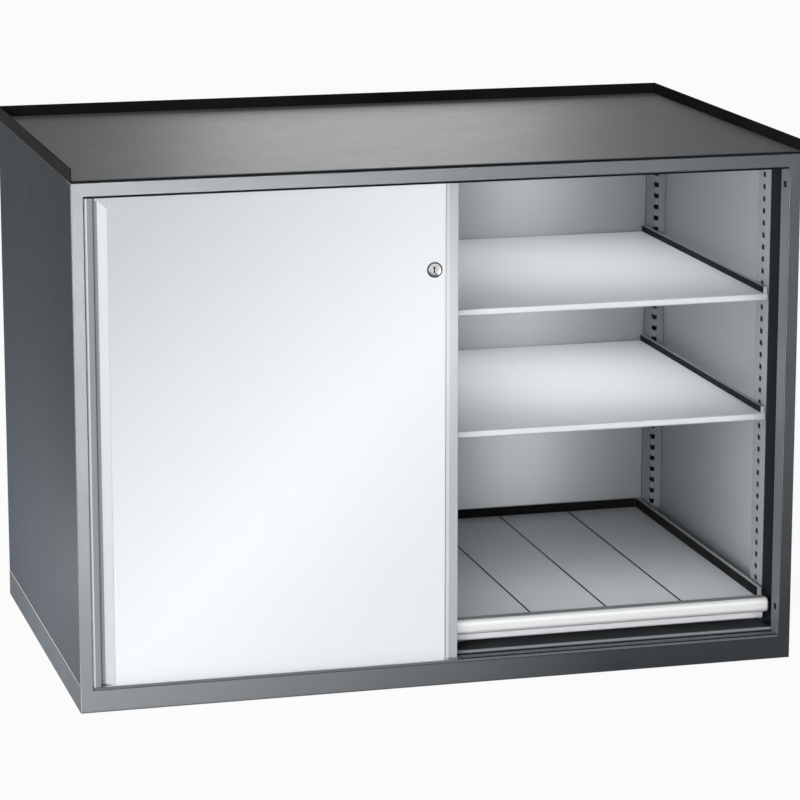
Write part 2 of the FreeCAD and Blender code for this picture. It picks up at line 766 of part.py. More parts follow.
def grip_bar():
    """Rounded bar, open underneath for the fingers."""
    return folded(bar_path(), BAR_SHELL, BAR_ROUND, "yz", (PULL_LEFT + BAR_SHELL, PULL_RIGHT - BAR_SHELL))


def grip_bar_caps():
    """End plates with the bar's own outline."""
    half = BAR_SHELL / 2
    depth = STRIP_FACE - BAR_FRONT
    cap = box(PULL_LEFT, PULL_LEFT + BAR_SHELL, BAR_FRONT, BAR_FRONT + depth, BAR_LOW, BAR_TOP)
    cap = rounded(cap, BAR_ROUND + half,
                  lambda middle, length: length < half * 3 and middle.y < BAR_FRONT + 0.1)
    return Part.makeCompound([cap, mirrored(cap, PULL_MIDDLE)])


def front_strip():
    half = THIN / 2
    face = STRIP_FACE + half
    wall = TRAY_FRONT - half
    low = STRIP_LOW + half
    high = BAR_TOP - BAR_SHELL - half
    path = [(wall, low), (face, low), (face, high), (wall, high)]
    return folded(path, THIN, BEND, "yz", (PULL_LEFT + TRAY_INSET, PULL_RIGHT - TRAY_INSET))


# Slides: right-hand side drawn, left-hand side mirrored

def slide_run():
    start = TRAY_FRONT + 2 * BEND
    return (start, start + SLIDE_LENGTH)


def slide_channel(step, steps_deep):
    """Channel open toward the tray's middle, nested step by step."""
    half = THIN / 2
    web = PULL_MIDDLE + SLIDE_WEB - step * MEMBER_STEP - half
    low = SLIDE_LOW + step * MEMBER_STEP + half
    high = SLIDE_LOW + SLIDE_HEIGHT - step * MEMBER_STEP - half
    tip = PULL_MIDDLE + SLIDE_WEB - steps_deep * MEMBER_STEP
    return folded([(tip, high), (web, high), (web, low), (tip, low)], THIN, TIGHT, "xz", slide_run())


def slide_rail():
    """Fixed outer channel on two feet."""
    channel = slide_channel(0, 3)
    web = PULL_MIDDLE + SLIDE_WEB
    foot_width = 3 * MEMBER_STEP
    middle = sum(slide_run()) / 2
    pieces = [channel]
    for side in (-1, 1):
        y = middle + side * FOOT_PITCH / 2
        pieces.append(box(web - foot_width, web, y - foot_width, y + foot_width, FLOOR_TOP, SLIDE_LOW))
    return fuse(pieces)


def slide_middle():
    return slide_channel(1, 3)


def slide_inner():
    """Bead in the middle channel, its neck, and a plate up to the tray's underside."""
    near = PULL_MIDDLE + SLIDE_WEB - 4 * MEMBER_STEP
    web = PULL_MIDDLE + SLIDE_WEB - 2 * MEMBER_STEP
    centre = SLIDE_LOW + SLIDE_HEIGHT / 2
    reach = SLIDE_HEIGHT / 2 - 2 * MEMBER_STEP
    start, end = slide_run()
    bead = box(web - THIN, web, start, end, centre - reach, centre + reach)
    neck = box(near, web, start, end, centre - THIN, centre + THIN)
    under = TRAY_FLOOR - THIN
    plate = box(near - THIN, near, start, end, centre - reach, under)
    flange = box(near - RETURN_HEM, near, start, end, under - THIN, under)
    return fuse([bead, neck, plate, flange])


def build():
    os.makedirs("parts", exist_ok=True)
    save("front_frame", front_frame())
    save("door_buffers", door_buffers())
    save("left_side_panel", side_panel())
    save("right_side_panel", mirrored(side_panel()))
    save("base_frame", base_frame())
    save("cross_members", cross_members())
    save("floor_pan", floor_pan())
    save("back_panel", back_panel())
    save("panel_screws", panel_screws())
    save("roof_panel", roof_panel())
    save("top_tray", top_tray())
    save("top_mat", top_mat())
    save("left_front_post", front_post())
    save("right_front_post", mirrored(front_post()))
    save("left_back_post", back_post())
    save("right_back_post", mirrored(back_post()))
    save("centre_front_post", centre_front_post())
    save("centre_back_post", centre_back_post())
    save("centre_partition", centre_partition())
    for bay in bays():
        for level in SHELF_SLOTS:
            save(bay + "_" + level + "_shelf", shelf(bay, level))
    save("shelf_clips", shelf_clips())
    save("bottom_track", bottom_track())
    save("track_rib", track_rib())
    save("top_track", top_track())
    for side in DOOR_FACE:
        save_door(side)
    save("pull_out_tray", pull_out_tray())
    for number in range(PLANKS):
        save("floor_plank_" + str(number + 1), floor_plank(number))
    save("grip_bar", grip_bar())
    save("grip_bar_caps", grip_bar_caps())
    save("front_strip", front_strip())
    for name, shape in (("rail", slide_rail()), ("middle", slide_middle()), ("inner", slide_inner())):
        save("right_slide_" + name, shape.copy())
        save("left_slide_" + name, mirrored(shape, PULL_MIDDLE))


build()
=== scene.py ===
# %% [markdown]
# # A metal workshop cabinet
# The real cabinet is folded sheet steel: a housing with a front frame, two sliding doors, shelves
# on slotted posts and a pull-out tray. Its measured solids come in as a fixed frame, so nothing has
# to be fitted by eye. This lesson adds what the solids can't carry: a camera, painted, rubber and
# metal finishes, the small trim, and a plain studio.

# %% Load the frame
import json
import math

import bpy
from mathutils import Matrix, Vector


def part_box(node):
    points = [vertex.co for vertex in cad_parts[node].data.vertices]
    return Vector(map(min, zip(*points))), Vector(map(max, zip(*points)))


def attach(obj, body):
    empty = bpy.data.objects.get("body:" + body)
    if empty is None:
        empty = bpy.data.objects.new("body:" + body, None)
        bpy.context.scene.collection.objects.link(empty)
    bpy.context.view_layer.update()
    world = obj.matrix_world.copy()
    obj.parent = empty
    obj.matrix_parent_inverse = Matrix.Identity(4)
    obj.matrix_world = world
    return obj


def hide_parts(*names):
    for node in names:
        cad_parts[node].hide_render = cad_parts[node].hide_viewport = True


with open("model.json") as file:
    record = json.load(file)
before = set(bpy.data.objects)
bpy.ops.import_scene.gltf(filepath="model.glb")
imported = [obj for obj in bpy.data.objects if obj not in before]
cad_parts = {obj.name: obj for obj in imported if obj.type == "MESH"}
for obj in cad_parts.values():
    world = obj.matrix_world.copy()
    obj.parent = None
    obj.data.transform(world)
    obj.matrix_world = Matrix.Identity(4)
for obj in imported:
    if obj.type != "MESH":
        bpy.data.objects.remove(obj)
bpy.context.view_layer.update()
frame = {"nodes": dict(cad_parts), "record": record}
nodes = frame["nodes"]
scene = bpy.context.scene
scene.view_settings.view_transform = "Standard"

# %% [markdown]
# ## Camera
# The cabinet is seen from the front left and a little above, from far off: its upright lines hardly
# lean together. A long lens at a good distance gives that calm view. A wide lens close by would make
# the near corner look too big.

# %% Camera
LENS_LENGTH = 158.03
CAMERA_PLACE = (-1.487, -5.6187, 1.6974)
LOOKS_DOWN = 12.627
LOOKS_RIGHT = 15.039
portrait_lens = bpy.data.cameras.new("portrait")
portrait_lens.lens = LENS_LENGTH
portrait = bpy.data.objects.new("portrait", portrait_lens)
portrait.location = CAMERA_PLACE
portrait.rotation_euler = (math.radians(90 - LOOKS_DOWN), 0, math.radians(-LOOKS_RIGHT))
scene.collection.objects.link(portrait)
scene.camera = portrait
print("camera at", tuple(portrait.location))

# %% [markdown]
# ## Measures
# The workshop drawing counts millimetres from the front left corner on the floor. Blender works in
# metres from the middle of the footprint. One small function turns the first into the second, so
# that every number below can be read off the drawing.

# %% Measures
CABINET_WIDTH = 1193
CABINET_DEPTH = 725


def at(x, y, z):
    """A place on the drawing, in millimetres, as a place in Blender."""
    return ((x - CABINET_WIDTH / 2) / 1000, (y - CABINET_DEPTH / 2) / 1000, z / 1000)


def srgb(red, green, blue):
    """A colour as a paint card gives it, turned into the linear values that shaders work in."""
    parts = [value / 255 for value in (red, green, blue)]
    return [p / 12.92 if p <= 0.04045 else ((p + 0.055) / 1.055) ** 2.4 for p in parts] + [1.0]


print("front left corner at", at(0, 0, 0))

# %% [markdown]
# ## The parts of a finish
# Powder coat is never one flat colour. Seen close it has a fine orange peel, its colour drifts a
# little over a panel, its gloss varies where hands have wiped it, and along a folded edge the coat
# is thin and lighter, which is wear and painted highlight together. Each of these is a short chain of
# nodes, and each finish below is put together from them. All of them read Object coordinates, so the
# pattern stays on the steel.
# What joins the chains is masks: a mask is a number from 0 to 1 at each point of the surface.

# %% Helpers for patterns
def start_finish(name):
    """A new material, its node tree, its shader, and the place on the object."""
    finish = bpy.data.materials.new(name)
    finish.use_nodes = True
    tree = finish.node_tree
    place = tree.nodes.new("ShaderNodeTexCoord").outputs["Object"]
    return finish, tree, tree.nodes["Principled BSDF"], place


def grain(tree, place, size, detail=2.0):
    """Noise with spots about this many metres across."""
    noise = tree.nodes.new("ShaderNodeTexNoise")
    noise.inputs["Scale"].default_value = 1 / size
    noise.inputs["Detail"].default_value = detail
    tree.links.new(place, noise.inputs["Vector"])
    return noise.outputs["Fac"]


def stretched(tree, place, along):
    """The place squeezed or drawn out along each axis, for brushed or rolled surfaces."""
    mapping = tree.nodes.new("ShaderNodeMapping")
    mapping.inputs["Scale"].default_value = along
    tree.links.new(place, mapping.inputs["Vector"])
    return mapping.outputs["Vector"]


def spread(tree, mask, low, high, start=0.3, end=0.7):
    """A mask's range between start and end, laid out from low to high."""
    node = tree.nodes.new("ShaderNodeMapRange")
    for socket, value in (("From Min", start), ("From Max", end), ("To Min", low), ("To Max", high)):
        node.inputs[socket].default_value = value
    tree.links.new(mask, node.inputs["Value"])
    return node.outputs["Result"]


print("pattern helpers ready")

# %% Helpers for tones
GLOSS_DRIFT = 0.02


def two_tones(tree, mask, low, high):
    """One tone where the mask is 0 and the other where it is 1. A tone is a colour or a socket."""
    node = tree.nodes.new("ShaderNodeMix")
    node.data_type = "RGBA"
    tree.links.new(mask, node.inputs[0])
    for socket, tone in ((node.inputs[6], low), (node.inputs[7], high)):
        if isinstance(tone, list):
            socket.default_value = tone
        else:
            tree.links.new(tone, socket)
    return node.outputs[2]


def lighter(tone, share):
    """A tone moved part of the way to white, or to black where the share is negative."""
    goal = 1.0 if share > 0 else 0.0
    return [value + (goal - value) * abs(share) for value in tone[:3]] + [1.0]


def drifting(tree, place, tone, shares, size, detail):
    """A tone that drifts between two shares of lighter or darker, in patches of this size."""
    drift = spread(tree, grain(tree, place, size, detail), 0.0, 1.0, start=0.2, end=0.8)
    low, high = (lighter(tone, share) for share in shares)
    return two_tones(tree, drift, low, high)


def wiped(tree, shader, place, size, rough):
    """A gloss that varies a little from patch to patch."""
    patches = grain(tree, place, size, detail=3.0)
    gloss = spread(tree, patches, rough - GLOSS_DRIFT, rough + GLOSS_DRIFT, start=0.2, end=0.8)
    tree.links.new(gloss, shader.inputs["Roughness"])


print("tone helpers ready")

# %% Helpers for edges
EDGE_FADE = (0.75, 0.97)


def edges(tree, radius):
    """A mask of the folded edges, and a normal that rounds them, both found by looking round a point."""
    bevel = tree.nodes.new("ShaderNodeBevel")
    bevel.samples = 6
    bevel.inputs["Radius"].default_value = radius
    flat = tree.nodes.new("ShaderNodeNewGeometry").outputs["Normal"]
    agree = tree.nodes.new("ShaderNodeVectorMath")
    agree.operation = "DOT_PRODUCT"
    tree.links.new(bevel.outputs["Normal"], agree.inputs[0])
    tree.links.new(flat, agree.inputs[1])
    return spread(tree, agree.outputs["Value"], 1.0, 0.0, *EDGE_FADE), bevel.outputs["Normal"]


def relief(tree, shader, height, depth, strength, normal):
    """A bump on the shader, over a normal that may already be rounded at the edges."""
    bump = tree.nodes.new("ShaderNodeBump")
    bump.inputs["Distance"].default_value = depth
    bump.inputs["Strength"].default_value = strength
    tree.links.new(height, bump.inputs["Height"])
    tree.links.new(normal, bump.inputs["Normal"])
    tree.links.new(bump.outputs["Normal"], shader.inputs["Normal"])


print("edge helpers ready")

# %% Helpers for masks
def split(tree, place):
    """The three coordinates of a place, one socket each."""
    node = tree.nodes.new("ShaderNodeSeparateXYZ")
    tree.links.new(place, node.inputs[0])
    return node.outputs


def axes(tree):
    """The three coordinates of a point on the object."""
    return split(tree, tree.nodes.new("ShaderNodeTexCoord").outputs["Object"])


def painted(tree):
    """The shader's colour input, and the paint that is linked to it."""
    colour = tree.nodes["Principled BSDF"].inputs["Base Color"]
    return colour, colour.links[0].from_socket


def reckoned(tree, operation, *values):
    """What a Math node makes of its values. A value is a number or a socket."""
    node = tree.nodes.new("ShaderNodeMath")
    node.operation = operation
    for socket, value in zip(node.inputs, values):
        if isinstance(value, float):
            socket.default_value = value
        else:
            tree.links.new(value, socket)
    return node.outputs[0]


def larger(tree, first, second):
    """1 where one mask or the other is."""
    return reckoned(tree, "MAXIMUM", first, second)


def both(tree, first, second):
    """1 where both masks are."""
    return reckoned(tree, "MULTIPLY", first, second)


def beyond(tree, value, limit):
    """1 where the value is over a limit."""
    return reckoned(tree, "GREATER_THAN", value, limit)


def within(tree, value, low, high):
    """1 where the value lies between two limits."""
    return reckoned(tree, "COMPARE", value, (low + high) / 2, (high - low) / 2)


print("mask helpers ready")

# %% [markdown]
# ## Powder coat
# Housing, doors, shelves and tray are all powder coated, in different greys and with more or less
# gloss. One function makes the coat, and each call gives it a tone. Its colour drifts over a hand's
# breadth, its orange peel is about a millimetre and a half across, and each folded edge gets a thin
# bright line, a painted highlight that a noise breaks up like wear.

# %% Powder coat
DRIFT_SIZE = 0.16
WEAR_SIZE = 0.012
GLOSS_SIZE = 0.05
PEEL_SIZE = 0.0016
PEEL_DEPTH = 0.0002
FOLD_RADIUS = 0.0012


def powder_coat(name, tone, rough, specular=0.5, edge_light=0.25, peel=0.08, drift_share=0.03):
    finish, tree, shader, place = start_finish(name)
    shares = (-drift_share, drift_share / 2)
    coat = drifting(tree, place, tone, shares, DRIFT_SIZE, detail=4.0)
    edge, rounded = edges(tree, FOLD_RADIUS)
    # Lighter folded edges: a painted highlight, broken up by noise like wear.
    worn_edge_highlight = both(tree, edge, spread(tree, grain(tree, place, WEAR_SIZE, detail=3.0), 0.2, 1.0))
    tree.links.new(two_tones(tree, worn_edge_highlight, coat, lighter(tone, edge_light)), shader.inputs["Base Color"])
    wiped(tree, shader, place, GLOSS_SIZE, rough)
    shader.inputs["Specular IOR Level"].default_value = specular
    relief(tree, shader, grain(tree, place, PEEL_SIZE, detail=1.0), PEEL_DEPTH, peel, rounded)
    return finish


print("orange peel", PEEL_SIZE * 1000, "mm across")

# %% Coats
housing_tone = srgb(46, 53, 58)
housing_coat = powder_coat("housing_powder_coat", housing_tone, rough=0.50, specular=0.1)
door_tone = srgb(226, 229, 232)
door_coat = powder_coat("door_powder_coat", door_tone, rough=0.30, edge_light=0.5, peel=0.05,
                        drift_share=0.01)
shelf_tone = srgb(222, 225, 228)
shelf_coat = powder_coat("shelf_powder_coat", shelf_tone, rough=0.36, edge_light=0.5, drift_share=0.015)
# The front strip is a lighter copy of the door's white: painted light against the shade of the bar
# above.
lit_strip_tone = srgb(244, 246, 248)
lit_strip_coat = powder_coat("lit_strip_powder_coat", lit_strip_tone, rough=0.30, edge_light=0.5, drift_share=0.01)
tray_tone = srgb(184, 187, 190)
tray_coat = powder_coat("tray_powder_coat", tray_tone, rough=0.38, drift_share=0.02)
# The floor pan is painted far lighter than the housing: painted light where little light reaches.
lit_pan_coat = powder_coat("lit_pan_powder_coat", srgb(116, 121, 124), rough=0.42)
# The track rib is painted a light grey, which is its tone and a painted highlight along its top.
rib_highlight_coat = powder_coat("rib_highlight_powder_coat", srgb(186, 190, 194), rough=0.42, edge_light=0.3)
rim_tone = srgb(20, 22, 23)
rim_coat = powder_coat("top_rim_powder_coat", rim_tone, rough=0.60, specular=0.02, edge_light=0.02)
print("coats:", [finish.name for finish in bpy.data.materials if finish.name.endswith("_coat")])

# %% [markdown]
# ## Walls in two greys
# The wall sheets are dark outside like the frame and lighter inside, so that one can see into the
# compartments. Both sides belong to one folded sheet. The finish asks where a point is: past the
# inner face of a wall it takes the outer grey, and on the strip of wall ahead of the posts the outer
# grey is painted shade of the gap behind the frame. Thin lighter lines on the outer folds and at the
# seam over the base are painted highlights. Two materials on one sheet would do it too, but a solid's
# faces stay as they are here, so the place decides.

# %% Walls in two greys
WALL_INSIDE = (0.5953, 0.3424, 0.8468)
AHEAD_OF_FRAME = -0.40
POST_FRONT = -0.2830
BASE_SEAM_HIGHLIGHT = (0.0420, 0.0448)
FOLD_HIGHLIGHT_WIDTH = 0.003
OUTER_DRIFT = (-0.03, 0.002)
inside_tone = srgb(174, 178, 180)
outer_tone = srgb(48, 54, 59)
highlight_line_tone = srgb(150, 150, 149)


def outer_grey_or_gap_shade(tree, place):
    """1 past the inner face of a wall, and on the wall ahead of the posts, where the outer grey is
    painted shade.
    """
    size = tree.nodes.new("ShaderNodeVectorMath")
    size.operation = "ABSOLUTE"
    tree.links.new(place, size.inputs[0])
    # On the wall ahead of the posts the outer grey is painted shade of the gap behind the frame.
    outside = within(tree, axes(tree)["Y"], AHEAD_OF_FRAME, POST_FRONT)
    for value, limit in zip(split(tree, size.outputs["Vector"]), WALL_INSIDE):
        outside = larger(tree, outside, beyond(tree, value, limit))
    return outside


def wall_coat():
    finish = powder_coat("wall_powder_coat", inside_tone, rough=0.5, specular=0.03)
    tree = finish.node_tree
    place = tree.nodes.new("ShaderNodeTexCoord").outputs["Object"]
    outer = drifting(tree, place, outer_tone, OUTER_DRIFT, DRIFT_SIZE, detail=4.0)
    # Thin lighter lines on the outer folds and at the seam over the base are painted highlights.
    line = larger(tree, edges(tree, FOLD_HIGHLIGHT_WIDTH)[0], within(tree, axes(tree)["Z"], *BASE_SEAM_HIGHLIGHT))
    outer = two_tones(tree, line, outer, highlight_line_tone)
    colour, inside = painted(tree)
    tree.links.new(two_tones(tree, outer_grey_or_gap_shade(tree, place), inside, outer), colour)
    return finish


wall_finish = wall_coat()
print("walls:", wall_finish.name)

# %% [markdown]
# ## Posts, planks, track and rims
# Some pieces change their tone by place, as the walls do. A slotted post is grey, and its front flange
# is painted dark, as painted shade like the gap it stands in. The planks of the pull-out lie close
# together, and their joints read as dark lines. The track's grooves are painted dark as shade, and the
# upper edges of the rims on shelves and tray are painted a darker grey as shade. Each is a plain coat
# with zones laid over it, and a zone is two limits along one axis or more.

# %% A coat with zones
def zoned(finish, zones):
    """Lays zones over a finish. A zone is its two limits along one or more axes, and its tone."""
    tree = finish.node_tree
    sides = axes(tree)
    colour, paint = painted(tree)
    for limits, tone in zones:
        masks = [within(tree, sides[axis], low, high) for axis, (low, high) in limits.items()]
        zone = masks[0]
        for mask in masks[1:]:
            zone = both(tree, zone, mask)
        paint = two_tones(tree, zone, paint, tone)
    tree.links.new(paint, colour)
    return finish


print("zones can be laid over a coat")

# %% Posts with a dark front
POST_SHEET = 0.0017
post_coat = powder_coat("post_powder_coat", srgb(134, 138, 141), rough=0.42, edge_light=0.4)
# The front flange of a post is painted dark: painted shade of the gap it stands in.
post_finish = zoned(post_coat, [({"Y": (POST_FRONT, POST_FRONT + POST_SHEET)}, housing_tone)])
print("posts:", post_finish.name)

# %% Planks with dark joints
JOINT_LINE = 0.0038
joint_tone = srgb(30, 31, 32)
joints = []
for number in (1, 2, 3):
    this_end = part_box("floor_plank_%d" % number)[1][0]
    next_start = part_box("floor_plank_%d" % (number + 1))[0][0]
    joint = (this_end + next_start) / 2
    joints.append((joint - JOINT_LINE / 2, joint + JOINT_LINE / 2))
plank_tone = srgb(164, 167, 170)
plank_coat = powder_coat("plank_powder_coat", plank_tone, rough=0.38, edge_light=0.0, drift_share=0.02)
plank_finish = zoned(plank_coat, [({"X": limits}, joint_tone) for limits in joints])

# %% Track with dark grooves
GROOVES = ((5.5, 13.5), (27.0, 36.5))
# The grooves are painted dark: painted shade where the rollers run.
groove_shade_tone = srgb(26, 27, 28)
shaded_grooves = [(at(0, front, 0)[1], at(0, back, 0)[1]) for front, back in GROOVES]
track_coat = powder_coat("track_powder_coat", srgb(124, 129, 132), rough=0.42, edge_light=0.0)
track_finish = zoned(track_coat, [({"Y": limits}, groove_shade_tone) for limits in shaded_grooves])
print("track:", track_finish.name)

# %% Rims with grey edges
SHELF_RIMS = ((0.4116, 0.4136), (0.6136, 0.6156))
TRAY_RIM = (0.1045, 0.1065)
# The upper edges of the rims are painted a darker grey: painted shade.
rim_shade_grey = srgb(122, 126, 128)
rimmed_shelf = powder_coat("shelf_body_coat", shelf_tone, rough=0.36, edge_light=0.5, drift_share=0.015)
shelf_finish = zoned(rimmed_shelf, [({"Z": limits}, rim_shade_grey) for limits in SHELF_RIMS])
rimmed_tray = powder_coat("tray_body_coat", tray_tone, rough=0.38, drift_share=0.02)
tray_finish = zoned(rimmed_tray, [({"Z": TRAY_RIM}, rim_shade_grey)])
print("rims:", shelf_finish.name, tray_finish.name)

# %% [markdown]
# ## Zones on the frame and the doors
# The frame is dark in front, and its returns inside the opening are painted a lighter grey, which is
# painted light, with a painted highlight on their rear edge and on the left outer corner.
# The grip profile of a door is drawn in one piece, yet it reads as five bands: a pale nose that is a
# painted highlight, a grey lip, a dark slit that is painted shade, a grey channel floor and a pale
# slope, its door white lightened as painted light. The strip at the other end has three bands, painted
# light and shade across its step. Each band is a distance from the door's end, so a ramp with hard
# steps along X gives them all.

# %% Zones on the frame
OPENING_WIDTH = (-0.5785, 0.5785)
OPENING_HEIGHT = (0.0350, 0.8272)
# The returns are painted lighter as painted light; their rear edge and the left outer corner get a
# painted highlight.
lit_return_tone = srgb(140, 144, 147)
rear_highlight_tone = srgb(186, 189, 191)
lit_returns = {"X": OPENING_WIDTH, "Y": (-0.3612, -0.3200), "Z": OPENING_HEIGHT}
rear_edge_highlight = {"X": OPENING_WIDTH, "Y": (-0.3280, -0.3200), "Z": OPENING_HEIGHT}
left_corner_highlight = {"X": (-0.5970, -0.5954), "Y": (-0.3640, -0.3610)}
frame_coat = powder_coat("frame_powder_coat", housing_tone, rough=0.40, specular=0.3)
frame_zones = [(lit_returns, lit_return_tone), (rear_edge_highlight, rear_highlight_tone), (left_corner_highlight, lit_return_tone)]
frame_finish = zoned(frame_coat, frame_zones)
print("frame:", frame_finish.name, "with", len(frame_zones), "zones")

# %% A coat with bands
FACE_SKIN = 0.0003
FACE_FROM = 0.45
white = [1.0, 1.0, 1.0, 1.0]


def banded_coat(name, start, end, face, bands):
    """Powder coat in bands along X between two ends of the drawing, and the door's tone on its face.
    A band is its first millimetre from the start, and its tone."""
    finish = powder_coat(name, white, rough=0.30, edge_light=0.0, peel=0.05, drift_share=0.01)
    tree = finish.node_tree
    sides = axes(tree)
    ramp = tree.nodes.new("ShaderNodeValToRGB")
    ramp.color_ramp.interpolation = "CONSTANT"
    steps = ramp.color_ramp.elements
    for number, (first, tone) in enumerate(bands):
        step = steps[number] if number < 2 else steps.new(0.5)
        step.position = first / abs(end - start)
        step.color = tone
    run = spread(tree, sides["X"], 0.0, 1.0, at(start, 0, 0)[0], at(end, 0, 0)[0])
    tree.links.new(run, ramp.inputs["Fac"])
    skin = at(0, face, 0)[1]
    front = within(tree, sides["Y"], skin - FACE_SKIN, skin + FACE_SKIN)
    margin = both(tree, beyond(tree, run, FACE_FROM), front)
    tint = tree.nodes.new("ShaderNodeMix")
    tint.data_type = "RGBA"
    tint.blend_type = "MULTIPLY"
    tint.inputs[0].default_value = 1.0
    colour, paint = painted(tree)
    tree.links.new(paint, tint.inputs[6])
    tree.links.new(two_tones(tree, margin, ramp.outputs["Color"], door_tone), tint.inputs[7])
    tree.links.new(tint.outputs[2], colour)
    return finish


print("the door's tone starts at", FACE_FROM, "of a profile's width")

# %% Bands on the doors
LEFT_FACE = 4.5
RIGHT_FACE = 20.5
# The pale nose is a painted highlight, the dark slit painted shade, and the near-white last grip band
# painted light on the slope. The edge bands are painted light and shade.
pale_highlight, grey, slit_shade = srgb(240, 242, 244), srgb(164, 168, 173), srgb(36, 38, 40)
grip_bands = ((0.0, pale_highlight), (4.2, grey), (14.1, slit_shade), (15.7, grey), (21.6, srgb(250, 251, 252)))
edge_light_and_shade_bands = ((0.0, srgb(186, 189, 192)), (2.0, srgb(238, 240, 242)), (7.6, srgb(178, 182, 185)))
banded = {
    "left_door_grip": banded_coat("left_grip_powder_coat", 21, 57, LEFT_FACE, grip_bands),
    "right_door_grip": banded_coat("right_grip_powder_coat", 621, 585, RIGHT_FACE, grip_bands),
    "left_door_edge": banded_coat("left_edge_powder_coat", 598, 621, LEFT_FACE, edge_light_and_shade_bands),
    "right_door_edge": banded_coat("right_edge_powder_coat", 44, 21, RIGHT_FACE, edge_light_and_shade_bands),
}
print("banded:", sorted(banded))

# %% [markdown]
# ## Rubber, plated steel, aluminium and plastic
# The top carries a thin rubber mat with a fine pebble grain. Slides, clips and screws are zinc
# plated, which shows as soft patches of brighter and duller crystal. The pull-out's grip is drawn
# aluminium, with faint lines along its length. Rollers are nylon, caps are moulded plastic.

# %% Rubber and plastic
CORNER_RADIUS = 0.0008
SHADE_SIZE = 0.09
SHADE_DRIFT = (-0.08, 0.01)
TOUCHED_SIZE = 0.03


def moulded(name, tone, rough, pebble, depth, specular=0.5):
    finish, tree, shader, place = start_finish(name)
    shade = drifting(tree, place, tone, SHADE_DRIFT, SHADE_SIZE, detail=5.0)
    tree.links.new(shade, shader.inputs["Base Color"])
    wiped(tree, shader, place, TOUCHED_SIZE, rough)
    shader.inputs["Specular IOR Level"].default_value = specular
    rounded = edges(tree, CORNER_RADIUS)[1]
    relief(tree, shader, grain(tree, place, pebble), depth, strength=0.08, normal=rounded)
    return finish


mat_rubber = moulded("mat_rubber", srgb(70, 74, 76), rough=0.46, pebble=0.0012, depth=0.0002)
black_rubber = moulded("black_rubber", srgb(11, 11, 12), rough=0.55, pebble=0.0010, depth=0.0002,
                       specular=0.12)
nylon = moulded("roller_nylon", srgb(222, 220, 212), rough=0.45, pebble=0.0015, depth=0.0001)
cap_plastic = moulded("cap_plastic", srgb(176, 179, 182), rough=0.40, pebble=0.0008, depth=0.0001)
print("rubber and plastic:", mat_rubber.name, black_rubber.name, nylon.name, cap_plastic.name)

# %% Metals
METAL_GLOSS = (-0.06, 0.08)


def bare_metal(name, tone, rough, patch, draw=(1, 1, 1), depth=0.00004, uneven=0.15, metallic=1.0):
    finish, tree, shader, place = start_finish(name)
    along = stretched(tree, place, draw)
    patches = spread(tree, grain(tree, along, patch, detail=4.0), 0.0, 1.0)
    shade = two_tones(tree, patches, lighter(tone, -uneven), lighter(tone, uneven / 3))
    tree.links.new(shade, shader.inputs["Base Color"])
    low, high = (rough + change for change in METAL_GLOSS)
    gloss = spread(tree, grain(tree, along, patch / 2, detail=5.0), low, high)
    tree.links.new(gloss, shader.inputs["Roughness"])
    shader.inputs["Metallic"].default_value = metallic
    rounded = edges(tree, CORNER_RADIUS)[1]
    relief(tree, shader, grain(tree, along, patch / 5), depth, strength=0.3, normal=rounded)
    return finish


zinc_plate = bare_metal("zinc_plate", srgb(186, 189, 192), rough=0.36, patch=0.006)
drawn_aluminium = bare_metal("drawn_aluminium", srgb(240, 241, 242), rough=0.52, patch=0.0015,
                             draw=(0.004, 1, 1), depth=0.00001, uneven=0.03, metallic=0.2)
bright_nickel = srgb(228, 228, 226)
nickel_plate = bare_metal("nickel_plate", bright_nickel, rough=0.24, patch=0.004)
print("metals:", zinc_plate.name, drawn_aluminium.name, nickel_plate.name)

# %% [markdown]
# ## Dress the solids
# Each solid carries the name of a finish slot, written when it was drawn. A table from slot to
# finish dresses them all. Pieces whose coat changes by place, and those with a grey of their own, share
# a slot with plainer ones, so a second table dresses them again by name.

# %% Tables of finishes
finish_of = {
    "housing_paint": housing_coat,
    "door_paint": door_coat,
    "shelf_paint": shelf_coat,
    "tray_paint": tray_coat,
    "dark_paint": rim_coat,
    "mat": mat_rubber,
    "zinc_steel": zinc_plate,
    "bar_aluminium": drawn_aluminium,
    "lock_metal": nickel_plate,
    "nylon": nylon,
    "cap_plastic": cap_plastic,
    "buffer_rubber": black_rubber,
}
wall_sheets = ("left_side_panel", "right_side_panel", "back_panel", "roof_panel", "centre_partition")
posts = [name for name in nodes if name.endswith("_post")]
shelves = [name for name in nodes if name.endswith("_shelf")]
planks = [name for name in nodes if "plank" in name]
by_name = {
    "front_frame": frame_finish,
    "front_strip": lit_strip_coat,
    "bottom_track": track_finish,
    "floor_pan": lit_pan_coat,
    "track_rib": rib_highlight_coat,
    "pull_out_tray": tray_finish,
}
by_name.update(banded)
for names, finish in ((wall_sheets, wall_finish), (posts, post_finish), (shelves, shelf_finish),
                      (planks, plank_finish)):
    by_name.update({name: finish for name in names})
print(len(finish_of), "slots and", len(by_name), "names")

# %% Dress the solids
def dress(piece, finish):
    if not piece.material_slots:
        piece.data.materials.append(finish)
    for slot in piece.material_slots:
        slot.link = "OBJECT"
        slot.material = finish


for solid in frame["record"]["subparts"]:
    dress(nodes[solid["node"]], finish_of[solid["material_slot"]])
for name, finish in by_name.items():
    dress(nodes[name], finish)

# %% [markdown]
# ## Black liners in the rims
# Shelves and tray are turned up at their sides, and a black strip lines the inner face of each
# turned-up rim. It starts as a box of the strip's size, and its upper edges are rounded into a bead.
# Copies of the first shelf liner, each with its own mesh, go to the other shelf rims. The tray's three
# are of their own length.

# %% Helpers for boxes and picking
# FACING is how far a normal lies along an axis when its face looks that way. TOUCH is how close two
# places are when they count as one. LONG_RUN is the least length of a long edge, in metres.
FACING = 0.9
TOUCH = 1e-6
LONG_RUN = 0.5


